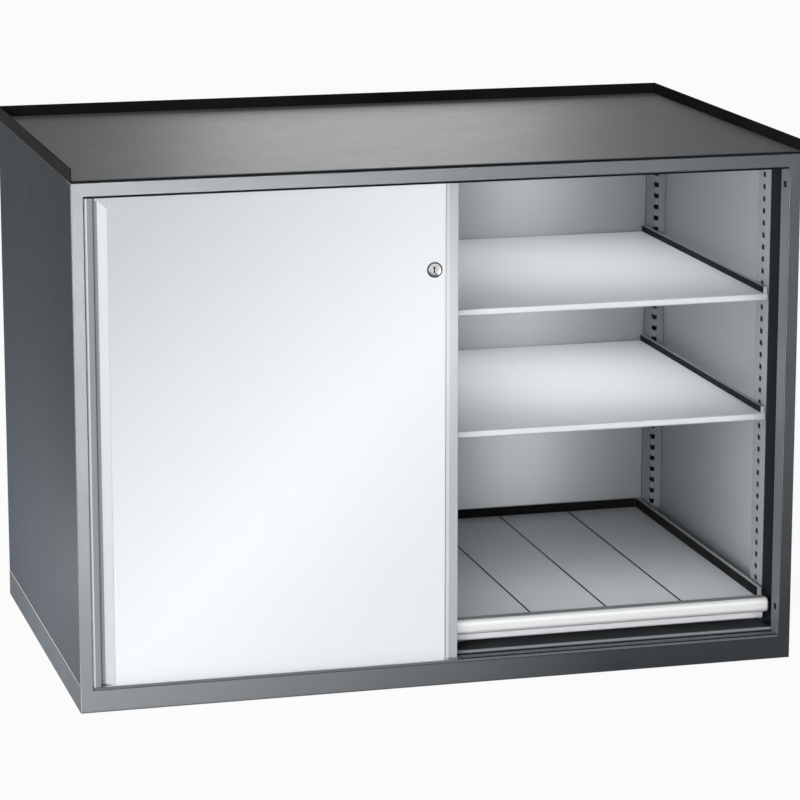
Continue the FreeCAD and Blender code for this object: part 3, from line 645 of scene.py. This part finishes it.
def block(name, low, high):
    """A box between two corners, the only thing selected, with its place in its mesh."""
    bpy.ops.object.select_all(action="DESELECT")
    middle = [(a + b) / 2 for a, b in zip(low, high)]
    size = [b - a for a, b in zip(low, high)]
    bpy.ops.mesh.primitive_cube_add(size=1, location=middle, scale=size)
    bpy.ops.object.transform_apply(location=True, rotation=True, scale=True)
    piece = bpy.context.object
    piece.name = name
    return piece


def clear_pick(kind):
    """Lets go of all that is selected, and sets what the next selection is made of."""
    bpy.ops.object.mode_set(mode="EDIT")
    bpy.ops.mesh.select_mode(type=kind)
    bpy.ops.mesh.select_all(action="DESELECT")
    bpy.ops.object.mode_set(mode="OBJECT")


def pick_edges(piece, test):
    """Goes into edit mode with just those edges selected whose middle and run pass the test."""
    clear_pick("EDGE")
    points = piece.data.vertices
    for edge in piece.data.edges:
        first, last = (points[i].co for i in edge.vertices)
        edge.select = test((first + last) / 2, last - first)
    bpy.ops.object.mode_set(mode="EDIT")


def pick_faces(piece, test):
    """Goes into edit mode with just those faces selected whose middle and normal pass the test."""
    clear_pick("FACE")
    for face in piece.data.polygons:
        face.select = test(face.center, face.normal)
    bpy.ops.object.mode_set(mode="EDIT")


print("picking helpers ready")

# %% Helpers for shaping
def round_off(radius, segments=3):
    """Rounds the picked edges."""
    bpy.ops.mesh.bevel(offset=radius, segments=segments, affect="EDGES")


def draw_out(*move):
    """Extrudes the picked face and moves it."""
    bpy.ops.mesh.extrude_region_move(TRANSFORM_OT_translate={"value": move})


print("shaping helpers ready")

# %% Helpers for a finished piece
SMOOTH_UNDER = 40


def done(piece, finish, body):
    """Back to object mode, smooth where the form is round, dressed and riding on its body."""
    bpy.ops.object.mode_set(mode="OBJECT")
    bpy.ops.object.shade_smooth_by_angle(angle=math.radians(SMOOTH_UNDER))
    dress(piece, finish)
    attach(piece, body)
    return piece


def copy_moved(piece, name, move, body):
    """A copy with a mesh of its own, moved in its mesh."""
    bpy.ops.object.select_all(action="DESELECT")
    twin = piece.copy()
    twin.data = piece.data.copy()
    twin.name = name
    scene.collection.objects.link(twin)
    twin.data.transform(Matrix.Translation(move))
    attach(twin, body)
    return twin


print("pieces are smooth where they turn less than", SMOOTH_UNDER, "degrees")

# %% A liner
BEAD_RADIUS = 0.00025


def liner(name, low, high, body):
    """A strip with a beaded upper edge, lying against a rim."""
    piece = block(name, low, high)
    pick_edges(piece, lambda middle, run: middle.z > high[2] - TOUCH)
    round_off(BEAD_RADIUS)
    return done(piece, black_rubber, body)


print("bead radius", BEAD_RADIUS * 1000, "mm")

# %% Liners in the shelf rims
SHELF_TOPS = {"lower": 401, "upper": 603}
FIRST_RIM, FIRST_LEVEL = "left_bay_left", "lower"


def copy_to_rims(piece, prefix, starts):
    """Copies the piece of the first shelf rim to all the others, and counts them."""
    count = 0
    for rim, start in starts.items():
        for level, top in SHELF_TOPS.items():
            if (rim, level) != (FIRST_RIM, FIRST_LEVEL):
                aside = (start - starts[FIRST_RIM]) / 1000
                up = (top - SHELF_TOPS[FIRST_LEVEL]) / 1000
                copy_moved(piece, prefix + rim + "_" + level, (aside, 0, up), "housing")
                count += 1
    return count


RIM_FACES = {
    "left_bay_left": 27.9,
    "left_bay_right": 570.0,
    "right_bay_left": 622.4,
    "right_bay_right": 1164.5,
}
LINER_SHEET = 0.6
LINER_RUN = (84.5, 700.5)
LINER_RISE = (0.1, 10.6)
first_face = RIM_FACES[FIRST_RIM]
first_top = SHELF_TOPS[FIRST_LEVEL]
low = at(first_face, LINER_RUN[0], first_top + LINER_RISE[0])
high = at(first_face + LINER_SHEET, LINER_RUN[1], first_top + LINER_RISE[1])
first_liner = liner("shelf_liner_left_bay_left_lower", low, high, "housing")
print("shelf liners: 1 and", copy_to_rims(first_liner, "shelf_liner_", RIM_FACES), "copies")

# %% Liners in the pull-out tray
foot, ridge = 88.2, 104.5
liner("tray_liner_left", at(633.4, 68, foot), at(634.0, 698, ridge), "pull_out")
liner("tray_liner_right", at(1159.5, 68, foot), at(1160.1, 698, ridge), "pull_out")
liner("tray_liner_back", at(634.2, 698.2, foot), at(1159.3, 698.8, ridge), "pull_out")
print("tray liners: 3")

# %% [markdown]
# ## Caps on the rims' ends
# A rim is a hollow hem, open at its front end, and a small pressed cap closes it. The cap is a box
# whose front face is drawn in and pushed back a little, which leaves a raised border, and whose
# corners are rounded. One is modelled for a shelf and copied to the others; the tray's is taller.

# %% A cap for a rim's end
CAP_BORDER = 0.0009
CAP_PRESSED = 0.00025
CAP_CORNER_RUN = 0.0004
CAP_ROUNDING = 0.00018


def rim_cap(name, low, high, body, slot):
    """A pressed cap, with the edges of its front and its four corners rounded."""
    piece = block(name, low, high)
    pick_faces(piece, lambda middle, normal: normal.y < -FACING)
    bpy.ops.mesh.inset(thickness=CAP_BORDER)
    bpy.ops.transform.translate(value=(0, CAP_PRESSED, 0))
    pick_edges(piece, lambda middle, run: abs(middle.y - low[1]) < TOUCH or abs(run.y) > CAP_CORNER_RUN)
    round_off(CAP_ROUNDING, segments=2)
    return done(piece, shelf_coat if slot == "shelf_paint" else tray_coat, body)


print("a cap's front is pressed in by", CAP_PRESSED * 1000, "mm")

# %% Caps on the rims' ends
RIM_STARTS = {
    "left_bay_left": 21.6,
    "left_bay_right": 570.7,
    "right_bay_left": 616.1,
    "right_bay_right": 1165.2,
}
CAP_WIDTH = 6.2
CAP_RUN = (83.1, 83.95)
CAP_RISE = (0.05, 10.9)
first_start = RIM_STARTS[FIRST_RIM]
low = at(first_start, CAP_RUN[0], first_top + CAP_RISE[0])
high = at(first_start + CAP_WIDTH, CAP_RUN[1], first_top + CAP_RISE[1])
first_cap = rim_cap("rim_cap_left_bay_left_lower", low, high, "housing", "shelf_paint")
print("shelf caps: 1 and", copy_to_rims(first_cap, "rim_cap_", RIM_STARTS), "copies")
low, high = at(627.1, 65.1, 92.1), at(633.3, 65.95, 104.9)
tray_cap = rim_cap("tray_cap_left", low, high, "pull_out", "tray_paint")
TRAY_RIMS_APART = 0.5331
copy_moved(tray_cap, "tray_cap_right", (TRAY_RIMS_APART, 0, 0), "pull_out")
print("tray caps: 2")

# %% [markdown]
# ## Cover on the grip bar
# A grey plastic cover lies on the flat top of the pull-out's grip bar, between its round front and
# the planks. It starts as a thin box, gets a shallow groove along its middle by an inset that is
# pushed down, and rounded long edges.

# %% Cover on the grip bar
GROOVE_BORDER = 0.0022
GROOVE_DEPTH = 0.0002
COVER_ROUNDING = 0.0002
cover_plastic = moulded("cover_plastic", srgb(138, 140, 139), rough=0.60, pebble=0.0010, depth=0.0001,
                        specular=0.1)
low, high = at(626.7, 48.6, 92.0), at(1166.8, 65.0, 92.6)
bar_cover = block("grip_bar_cover", low, high)
pick_faces(bar_cover, lambda middle, normal: normal.z > FACING)
bpy.ops.mesh.inset(thickness=GROOVE_BORDER)
bpy.ops.transform.translate(value=(0, 0, -GROOVE_DEPTH))
pick_edges(bar_cover, lambda middle, run: middle.z > high[2] - TOUCH and abs(run.x) > LONG_RUN)
round_off(COVER_ROUNDING)
done(bar_cover, cover_plastic, "pull_out")
print("cover is", round(bar_cover.dimensions.x * 1000, 1), "mm long")

# %% [markdown]
# ## Feet of the left door's profiles
# The left door's skin goes down behind the frame's lip as a thin skirt, and where a profile is set
# back a small folded foot closes the skirt, so that one can't see the track through it. Each foot is a
# strip with a turned-back lower edge: a thin box whose bottom face is extruded down and back.

# %% Feet of the left door's profiles
FOOT_SHEET = (6.1, 6.7)
FOOT_RISE = (39.0, 41.4)
TURNED_BACK = (0, 0.0003, -0.0008)
FOOT_RUN = 0.005
FOOT_ROUNDING = 0.0001


def profile_foot(name, x0, x1, finish):
    low, high = at(x0, FOOT_SHEET[0], FOOT_RISE[0]), at(x1, FOOT_SHEET[1], FOOT_RISE[1])
    piece = block(name, low, high)
    pick_faces(piece, lambda middle, normal: normal.z < -FACING)
    draw_out(*TURNED_BACK)
    pick_edges(piece, lambda middle, run: middle.z < low[2] + TOUCH and abs(run.x) > FOOT_RUN)
    round_off(FOOT_ROUNDING, segments=2)
    return done(piece, finish, "left_door")


profile_foot("grip_foot", 35.4, 56.9, banded["left_door_grip"])
profile_foot("edge_foot", 602.6, 620.9, banded["left_door_edge"])
print("two feet on the left door")

# %% [markdown]
# ## Sill strip
# A sloped strip sits on the lower lip of the frame and sheds what falls in front of the doors. It is
# a box whose upper front edge is pulled down to make the slope, with both ends mitred like the
# frame's corners and its ridge rounded.

# %% Sill strip
SILL_DROP = 0.0031
SILL_MITRE = 0.997
SILL_ROUNDING = 0.0004
sill_coat = powder_coat("sill_powder_coat", srgb(128, 132, 135), rough=0.42, edge_light=0.2)
low, high = at(20.3, 0.4, 37.0), at(1172.7, 3.0, 40.4)
sill = block("sill_strip", low, high)
pick_edges(sill, lambda middle, run: abs(run.x) > LONG_RUN and middle.z > high[2] - TOUCH
           and middle.y < low[1] + TOUCH)
bpy.ops.transform.translate(value=(0, 0, -SILL_DROP))
bpy.ops.transform.resize(value=(SILL_MITRE, 1, 1))
pick_edges(sill, lambda middle, run: abs(run.x) > LONG_RUN and middle.z > high[2] - TOUCH)
round_off(SILL_ROUNDING)
done(sill, sill_coat, "housing")
print("sill strip is", round(sill.dimensions.z * 1000, 1), "mm high")

# %% [markdown]
# ## Seal over the doors
# A black strip hangs behind the upper lip of the frame and closes the gap over the doors. A real one
# is a rubber profile with a thin lip at the bottom, so a box is drawn down into a narrower tongue
# and its edges are rounded.

# %% Seal over the doors
TONGUE_LENGTH = 0.0018
TONGUE_SHARE = 0.55
TONGUE_ROUNDING = 0.0003
low, high = at(20.3, 1.6, 824.0), at(1172.7, 3.0, 825.4)
tip = low[2] - TONGUE_LENGTH
door_seal = block("door_seal", low, high)
pick_faces(door_seal, lambda middle, normal: normal.z < -FACING)
draw_out(0, 0, -TONGUE_LENGTH)
bpy.ops.transform.resize(value=(1, TONGUE_SHARE, 1))
pick_edges(door_seal, lambda middle, run: middle.z < tip + TOUCH and abs(run.x) > LONG_RUN)
round_off(TONGUE_ROUNDING)
done(door_seal, black_rubber, "housing")
print("seal drops to", round(min(v.co.z for v in door_seal.data.vertices) * 1000, 1), "mm")

# %% [markdown]
# ## Lock rosette
# The lock sits in a round rosette, a turned ring whose rim is plated dark and whose inside is a bright
# funnel towards the plug. A cylinder is laid on the door, and its front face is drawn in three times:
# forward for the rim's slope, back again, and deeper for the funnel. Behind the door it goes on as the
# barrel, and a hole is bridged from front to back for the turning plug. The dark plating ends at a
# distance from the lock's axis, so the place decides here too.

# %% Plating of the rosette
LOCK_ACROSS, LOCK_UP = 579, 685
LOCK_AXIS = at(LOCK_ACROSS, 0, LOCK_UP)
DARK_FROM = 0.0102
DARK_DEPTH = 1.6


def rosette_metal():
    """Dark plating on the outer ring, bright inside it."""
    finish = bare_metal("rosette_nickel", srgb(52, 53, 55), rough=0.30, patch=0.004)
    tree = finish.node_tree
    sides = axes(tree)
    flat = tree.nodes.new("ShaderNodeCombineXYZ")
    tree.links.new(sides["X"], flat.inputs["X"])
    tree.links.new(sides["Z"], flat.inputs["Z"])
    reach = tree.nodes.new("ShaderNodeVectorMath")
    reach.operation = "DISTANCE"
    reach.inputs[1].default_value = (LOCK_AXIS[0], 0, LOCK_AXIS[2])
    tree.links.new(flat.outputs[0], reach.inputs[0])
    ring = beyond(tree, reach.outputs["Value"], DARK_FROM)
    ring = both(tree, ring, within(tree, sides["Y"], at(0, 0, 0)[1], at(0, DARK_DEPTH, 0)[1]))
    colour, dark = painted(tree)
    tree.links.new(two_tones(tree, ring, bright_nickel, dark), colour)
    return finish


print("plating is dark", DARK_FROM * 1000, "mm from the axis")

# %% Lock rosette
ROSETTE_RADIUS = 0.0125
ROSETTE_DEPTH = 0.0030
ROSETTE_MIDDLE = at(LOCK_ACROSS, 3.0, LOCK_UP)
BARREL_SHOULDER = 0.0016
BARREL_LENGTH = 0.009
BARREL_WALL = 0.0033
ON_AXIS = 0.001
# Each step is how far the front face is drawn in, and how far it then moves back.
FRONT_STEPS = ((0.0007, -0.0006), (0.0016, 0.0006), (0.0026, 0.0012))
bpy.ops.object.select_all(action="DESELECT")
bpy.ops.mesh.primitive_cylinder_add(vertices=64, radius=ROSETTE_RADIUS, depth=ROSETTE_DEPTH,
                                    location=ROSETTE_MIDDLE, rotation=(math.radians(90), 0, 0))
bpy.ops.object.transform_apply(location=True, rotation=True, scale=True)
rosette = bpy.context.object
rosette.name = "lock_rosette"
pick_faces(rosette, lambda middle, normal: normal.y < -FACING)
for inward, back in FRONT_STEPS:
    bpy.ops.mesh.inset(thickness=inward)
    bpy.ops.transform.translate(value=(0, back, 0))
pick_faces(rosette, lambda middle, normal: normal.y > FACING)
bpy.ops.mesh.inset(thickness=BARREL_SHOULDER)
draw_out(0, BARREL_LENGTH, 0)
bpy.ops.mesh.inset(thickness=BARREL_WALL)
pick_faces(rosette, lambda middle, normal: abs(normal.y) > FACING
           and math.hypot(middle.x - LOCK_AXIS[0], middle.z - LOCK_AXIS[2]) < ON_AXIS)
bpy.ops.mesh.bridge_edge_loops()
done(rosette, rosette_metal(), "left_door")
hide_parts("lock_barrel")
print("rosette has", len(rosette.data.polygons), "faces")

# %% [markdown]
# ## Keyhole shade
# A black plate on the face of the turning plug is painted shade of the key slot. It is narrow
# in the middle, wide at the top and tall at the bottom. A thin box is the narrow middle; its upper and
# lower faces are extruded twice, once to widen and once to lengthen, and the corners are rounded.

# %% Keyhole shade
PLATE_STEP = 0.0004
PLATE_CORNER_RUN = 0.0002
PLATE_ROUNDING = 0.0004


def flare(way, wider, length):
    """Widens the picked face over a short step, then draws it out up or down."""
    draw_out(0, 0, way * PLATE_STEP)
    bpy.ops.transform.resize(value=(wider, 1, 1))
    draw_out(0, 0, way * length)


# A black plate over the key slot: painted shade of the keyhole.
keyhole_shade_black = bare_metal("keyhole_shade_black", srgb(16, 16, 17), rough=0.5, patch=0.004)
keyhole_shade_plate = block("keyhole_shade_plate", at(578.45, 3.0, 683.2), at(579.55, 3.28, 686.8))
pick_faces(keyhole_shade_plate, lambda middle, normal: normal.z > FACING)
flare(way=1, wider=3.6, length=0.0024)
pick_faces(keyhole_shade_plate, lambda middle, normal: normal.z < -FACING and middle.z < LOCK_AXIS[2])
flare(way=-1, wider=2.6, length=0.0030)
pick_edges(keyhole_shade_plate, lambda middle, run: abs(run.y) > PLATE_CORNER_RUN)
round_off(PLATE_ROUNDING)
done(keyhole_shade_plate, keyhole_shade_black, "lock_plug")
print("key plate is", round(keyhole_shade_plate.dimensions.z * 1000, 1), "mm tall")

# %% [markdown]
# ## Studio
# A plain pale floor runs far behind the cabinet, so the camera sees nothing else. To the camera and
# in reflections it is white; a share of it is still a real surface, so the cabinet's soft shadow
# stays. The world around gives an even, weak light.

# %% Paper for the floor
WHITE_SHARE = 0.95
PAPER_TONE = (0.8, 0.8, 0.8, 1)


def floor_paper():
    """White to the camera and in reflections, and a real surface for a small share."""
    paper = bpy.data.materials.new("studio_floor")
    paper.use_nodes = True
    tree = paper.node_tree
    tree.nodes.clear()
    out = tree.nodes.new("ShaderNodeOutputMaterial")
    surface = tree.nodes.new("ShaderNodeBsdfDiffuse")
    surface.inputs["Color"].default_value = PAPER_TONE
    glow = tree.nodes.new("ShaderNodeEmission")
    mix = tree.nodes.new("ShaderNodeMixShader")
    ray = tree.nodes.new("ShaderNodeLightPath")
    seen = larger(tree, ray.outputs["Is Camera Ray"], ray.outputs["Is Glossy Ray"])
    seen = larger(tree, seen, ray.outputs["Is Transmission Ray"])
    tree.links.new(spread(tree, seen, 0.0, WHITE_SHARE, start=0.0, end=1.0), mix.inputs[0])
    tree.links.new(surface.outputs[0], mix.inputs[1])
    tree.links.new(glow.outputs[0], mix.inputs[2])
    tree.links.new(mix.outputs[0], out.inputs["Surface"])
    return paper


white_floor = floor_paper()
print("floor paper is white for", WHITE_SHARE)

# %% Floor and world
FLOOR_WIDTH = 60
WORLD_TONE = (0.95, 0.97, 1.0, 1)
WORLD_STRENGTH = 0.25
bpy.ops.object.select_all(action="DESELECT")
bpy.ops.mesh.primitive_plane_add(size=FLOOR_WIDTH)
floor = bpy.context.object
floor.name = "studio_floor"
floor.data.materials.append(white_floor)
studio = bpy.data.worlds.new("studio")
studio.use_nodes = True
around = studio.node_tree.nodes["Background"]
around.inputs["Color"].default_value = WORLD_TONE
around.inputs["Strength"].default_value = WORLD_STRENGTH
scene.world = studio
print("floor", floor.dimensions.x, "m wide")

# %% [markdown]
# ## Light
# Lamps are soft rectangles. A lamp can be linked to the pieces it is meant for. Each part of the set
# is then lit on its own, nothing spills where it would glare, and a change on one piece leaves the
# others as they are.

# %% Helpers for light
def softbox(name, place, goal, size, power):
    lamp = bpy.data.lights.new(name, "AREA")
    lamp.shape = "RECTANGLE"
    lamp.size, lamp.size_y = size
    lamp.energy = power
    light = bpy.data.objects.new(name, lamp)
    scene.collection.objects.link(light)
    light.location = place
    aim = Matrix.Translation(goal).to_translation() - light.location
    light.rotation_euler = aim.to_track_quat("-Z", "Y").to_euler()
    light.visible_camera = False
    return light


def only_on(light, names, state="INCLUDE"):
    """Links a lamp to a few pieces, or keeps it off them."""
    group = bpy.data.collections.new(light.name + "_receivers")
    for name in names:
        group.objects.link(scene.objects[name])
    for member in group.collection_objects:
        member.light_linking.link_state = state
    light.light_linking.receiver_collection = group


print("light helpers ready")

# %% [markdown]
# ## Light on the outside
# One large softbox from the front left is the key. A strip behind the cabinet lies where the mat
# mirrors it, and draws one long soft highlight over the rubber. Fills from the right, from behind and
# from above keep the other sides readable, and a low strip lifts the foot of the left side.

# %% Light on the outside
key = softbox("key_softbox", place=(-2.4, -4.2, 1.3), goal=(0.1, 0, 0.45), size=(2.4, 1.8), power=104)
only_on(key, wall_sheets, "EXCLUDE")
softbox("mat_strip", place=(0.80, 3.2, 1.7), goal=(0, 0, 0.85), size=(0.95, 1.7), power=14)
outer_sheets = list(wall_sheets) + ["base_frame"]
# Each row is a name, a place, a goal, a size, a power, and what is lit.
OUTSIDE_LAMPS = (
    ("side_strip", (-1.05, 0, 0.06), (-0.6, 0, 0.15), (0.9, 0.10), 8.3, outer_sheets),
    ("right_fill", (3.4, 0.8, 1.1), (0.6, 0, 0.4), (2.0, 1.6), 62, outer_sheets),
    ("back_fill", (0.5, 3.6, 1.1), (0, 0.36, 0.4), (2.0, 1.6), 66, outer_sheets + ["panel_screws"]),
    ("top_fill", (0, 0, 3.0), (0, 0, 0), (2.5, 2.0), 22, ("top_mat", "top_tray")),
)
for name, place, goal, size, power, receivers in OUTSIDE_LAMPS:
    only_on(softbox(name, place, goal, size, power), receivers)

# %% [markdown]
# ## Light in the bays
# A deep compartment would be a black hole. In each bay a panel under every level lights the shelf
# below it. An upright lamp near the front lights the side wall and the posts, and one deep inside lights
# the back. They light nothing else, so the doors and the frame in front of them stay as they are.

# %% Light in the bays
levels = [name for name in nodes if "shelf" in name or "plank" in name or name == "pull_out_tray"]
walls = list(wall_sheets) + posts
LAMP_HEIGHT = 430
LAMP_LENGTH = 0.75
PANEL_WIDTH = 0.44
PANELS = (
    {"level": "upper", "height": 838, "depth": 420, "length": 0.46, "power": 1.0},
    {"level": "middle", "height": 586, "depth": 420, "length": 0.46, "power": 0.8},
    {"level": "lower", "height": 384, "depth": 120, "length": 0.16, "power": 1.1},
)
WALL_LAMP = {"aside": -130, "depth": 100, "width": 0.10, "power": 2.0}
BACK_LAMP = {"aside": -25, "depth": 545, "width": 0.06, "power": 0.75}
BAYS = {"left": 320, "right": 960}
for bay, middle in BAYS.items():
    for panel in PANELS:
        name = bay + "_" + panel["level"] + "_panel"
        place = at(middle, panel["depth"], panel["height"])
        below = (place[0], place[1], 0)
        only_on(softbox(name, place, below, (PANEL_WIDTH, panel["length"]), panel["power"]), levels)
    place = at(middle + WALL_LAMP["aside"], WALL_LAMP["depth"], LAMP_HEIGHT)
    goal, size = (1, place[1], place[2]), (WALL_LAMP["width"], LAMP_LENGTH)
    only_on(softbox(bay + "_wall_lamp", place, goal, size, WALL_LAMP["power"]), walls)
    place = at(middle + BACK_LAMP["aside"], BACK_LAMP["depth"], LAMP_HEIGHT)
    goal, size = (place[0], 1, place[2]), (BACK_LAMP["width"], LAMP_LENGTH)
    only_on(softbox(bay + "_back_lamp", place, goal, size, BACK_LAMP["power"]), ("back_panel",))
print("lamps in a bay:", len(PANELS) + 2)

# %% [markdown]
# ## Graded panels
# A glossy coat shows its gloss by what it mirrors, and a studio gives it a panel that fades from
# light to dark. The strength of such a lamp depends on the place on the lamp. The one for the frame
# fades to the right; the one for the doors has a bright ridge that runs across it at a slant.

# %% Graded panels
def graded(light, strength):
    """Gives a lamp nodes of its own; the strength function gets their tree and the place on the lamp."""
    light.data.use_nodes = True
    tree = light.data.node_tree
    place = tree.nodes.new("ShaderNodeNewGeometry").outputs["Position"]
    tree.links.new(strength(tree, place), tree.nodes["Emission"].inputs["Strength"])


print("lamps can be graded")

# %% A fade for the frame
NEAR = -0.4
WEAKEST = -0.8
FAR = -5.4
LEFT_LINE = (-0.60, 0.29)
RIGHT_LINE = (0.30, 1.7)
LEFT_STRENGTH = (0.11, 1.0)


def fade_to_the_right(tree, place):
    """Full strength up to a line on the left, none past a line on the right, and weaker nearby."""
    sides = split(tree, place)
    ahead = sides["Y"]
    node = tree.nodes.new("ShaderNodeMapRange")
    node.inputs["To Max"].default_value = 0.0
    sockets = {
        "Value": sides["X"],
        "From Min": spread(tree, ahead, *LEFT_LINE, start=NEAR, end=FAR),
        "From Max": spread(tree, ahead, *RIGHT_LINE, start=NEAR, end=FAR),
        "To Min": spread(tree, ahead, *LEFT_STRENGTH, start=WEAKEST, end=FAR),
    }
    for socket, value in sockets.items():
        tree.links.new(value, node.inputs[socket])
    return node.outputs["Result"]


print("the fade runs from", NEAR, "to", FAR, "m along Y")

# %% A ridge for the doors
RIDGE = 0.397
FADE_ABOVE = 0.5
FADE_BELOW = 0.25
LEAST_BELOW = 0.80


def diagonal_ridge(tree, place):
    """Brightest along a slanted line, with a long fade above it and a slight one below."""
    slant = tree.nodes.new("ShaderNodeVectorMath")
    slant.operation = "DOT_PRODUCT"
    slant.inputs[1].default_value = (-math.sqrt(0.5), 0, math.sqrt(0.5))
    tree.links.new(place, slant.inputs[0])
    upper = spread(tree, slant.outputs["Value"], 1.0, 0.0, start=RIDGE, end=RIDGE + FADE_ABOVE)
    lower = spread(tree, slant.outputs["Value"], LEAST_BELOW, 1.0, start=RIDGE - FADE_BELOW, end=RIDGE)
    return both(tree, upper, lower)


print("ridge at", RIDGE, "m along the slant")

# %% [markdown]
# ## Sheen on the fronts
# The frame mirrors a panel that lies on the floor in front. The doors, shelf edges and strip mirror one
# that stands close before them. Both are only mirrored and light nothing. The doors' edge strips have
# a weak fill and two small glows, one high and one low, and the grip bar a softbox from above.

# %% Sheen on the fronts
SHEEN_SPREAD = 100
frame_sheen = softbox("frame_sheen", place=(0.85, -3.465, 0.0005), goal=(0.85, -3.465, 1.0),
                      size=(3.4, 6.2), power=7000)
frame_sheen.rotation_euler = (math.pi, 0, 0)
frame_sheen.visible_diffuse = False
graded(frame_sheen, fade_to_the_right)
only_on(frame_sheen, ("front_frame",))
pale_fronts = ["left_door_panel", "right_door_panel", "front_strip"] + shelves
door_sheen = softbox("door_sheen", place=(0.05, -0.45, 0.44), goal=(0.05, 0, 0.44),
                     size=(1.5, 0.86), power=13)
door_sheen.visible_diffuse = False
door_sheen.data.spread = math.radians(SHEEN_SPREAD)
graded(door_sheen, diagonal_ridge)
only_on(door_sheen, pale_fronts)
# Each row is a name, a place, a goal, a size and a power.
EDGE_LAMPS = (
    ("edge_fill", (2.6, -3.2, 0.7), (0, -0.36, 0.43), (1.2, 1.6), 20),
    ("edge_high_glow", (-0.12, -0.58, 0.60), (0.01, -0.36, 0.60), (0.05, 0.12), 0.55),
    ("edge_low_glow", (0.30, -0.75, 0.04), (0.01, -0.36, 0.10), (0.2, 0.2), 0.7),
)
for name, place, goal, size, power in EDGE_LAMPS:
    only_on(softbox(name, place, goal, size, power), ("left_door_edge", "right_door_edge"))
bar_sheen = softbox("bar_sheen", place=(0.3, -2.4, 1.7), goal=(0.3, -0.3, 0.08),
                    size=(2.6, 1.0), power=35)
only_on(bar_sheen, ("grip_bar", "grip_bar_caps", "grip_bar_cover"))
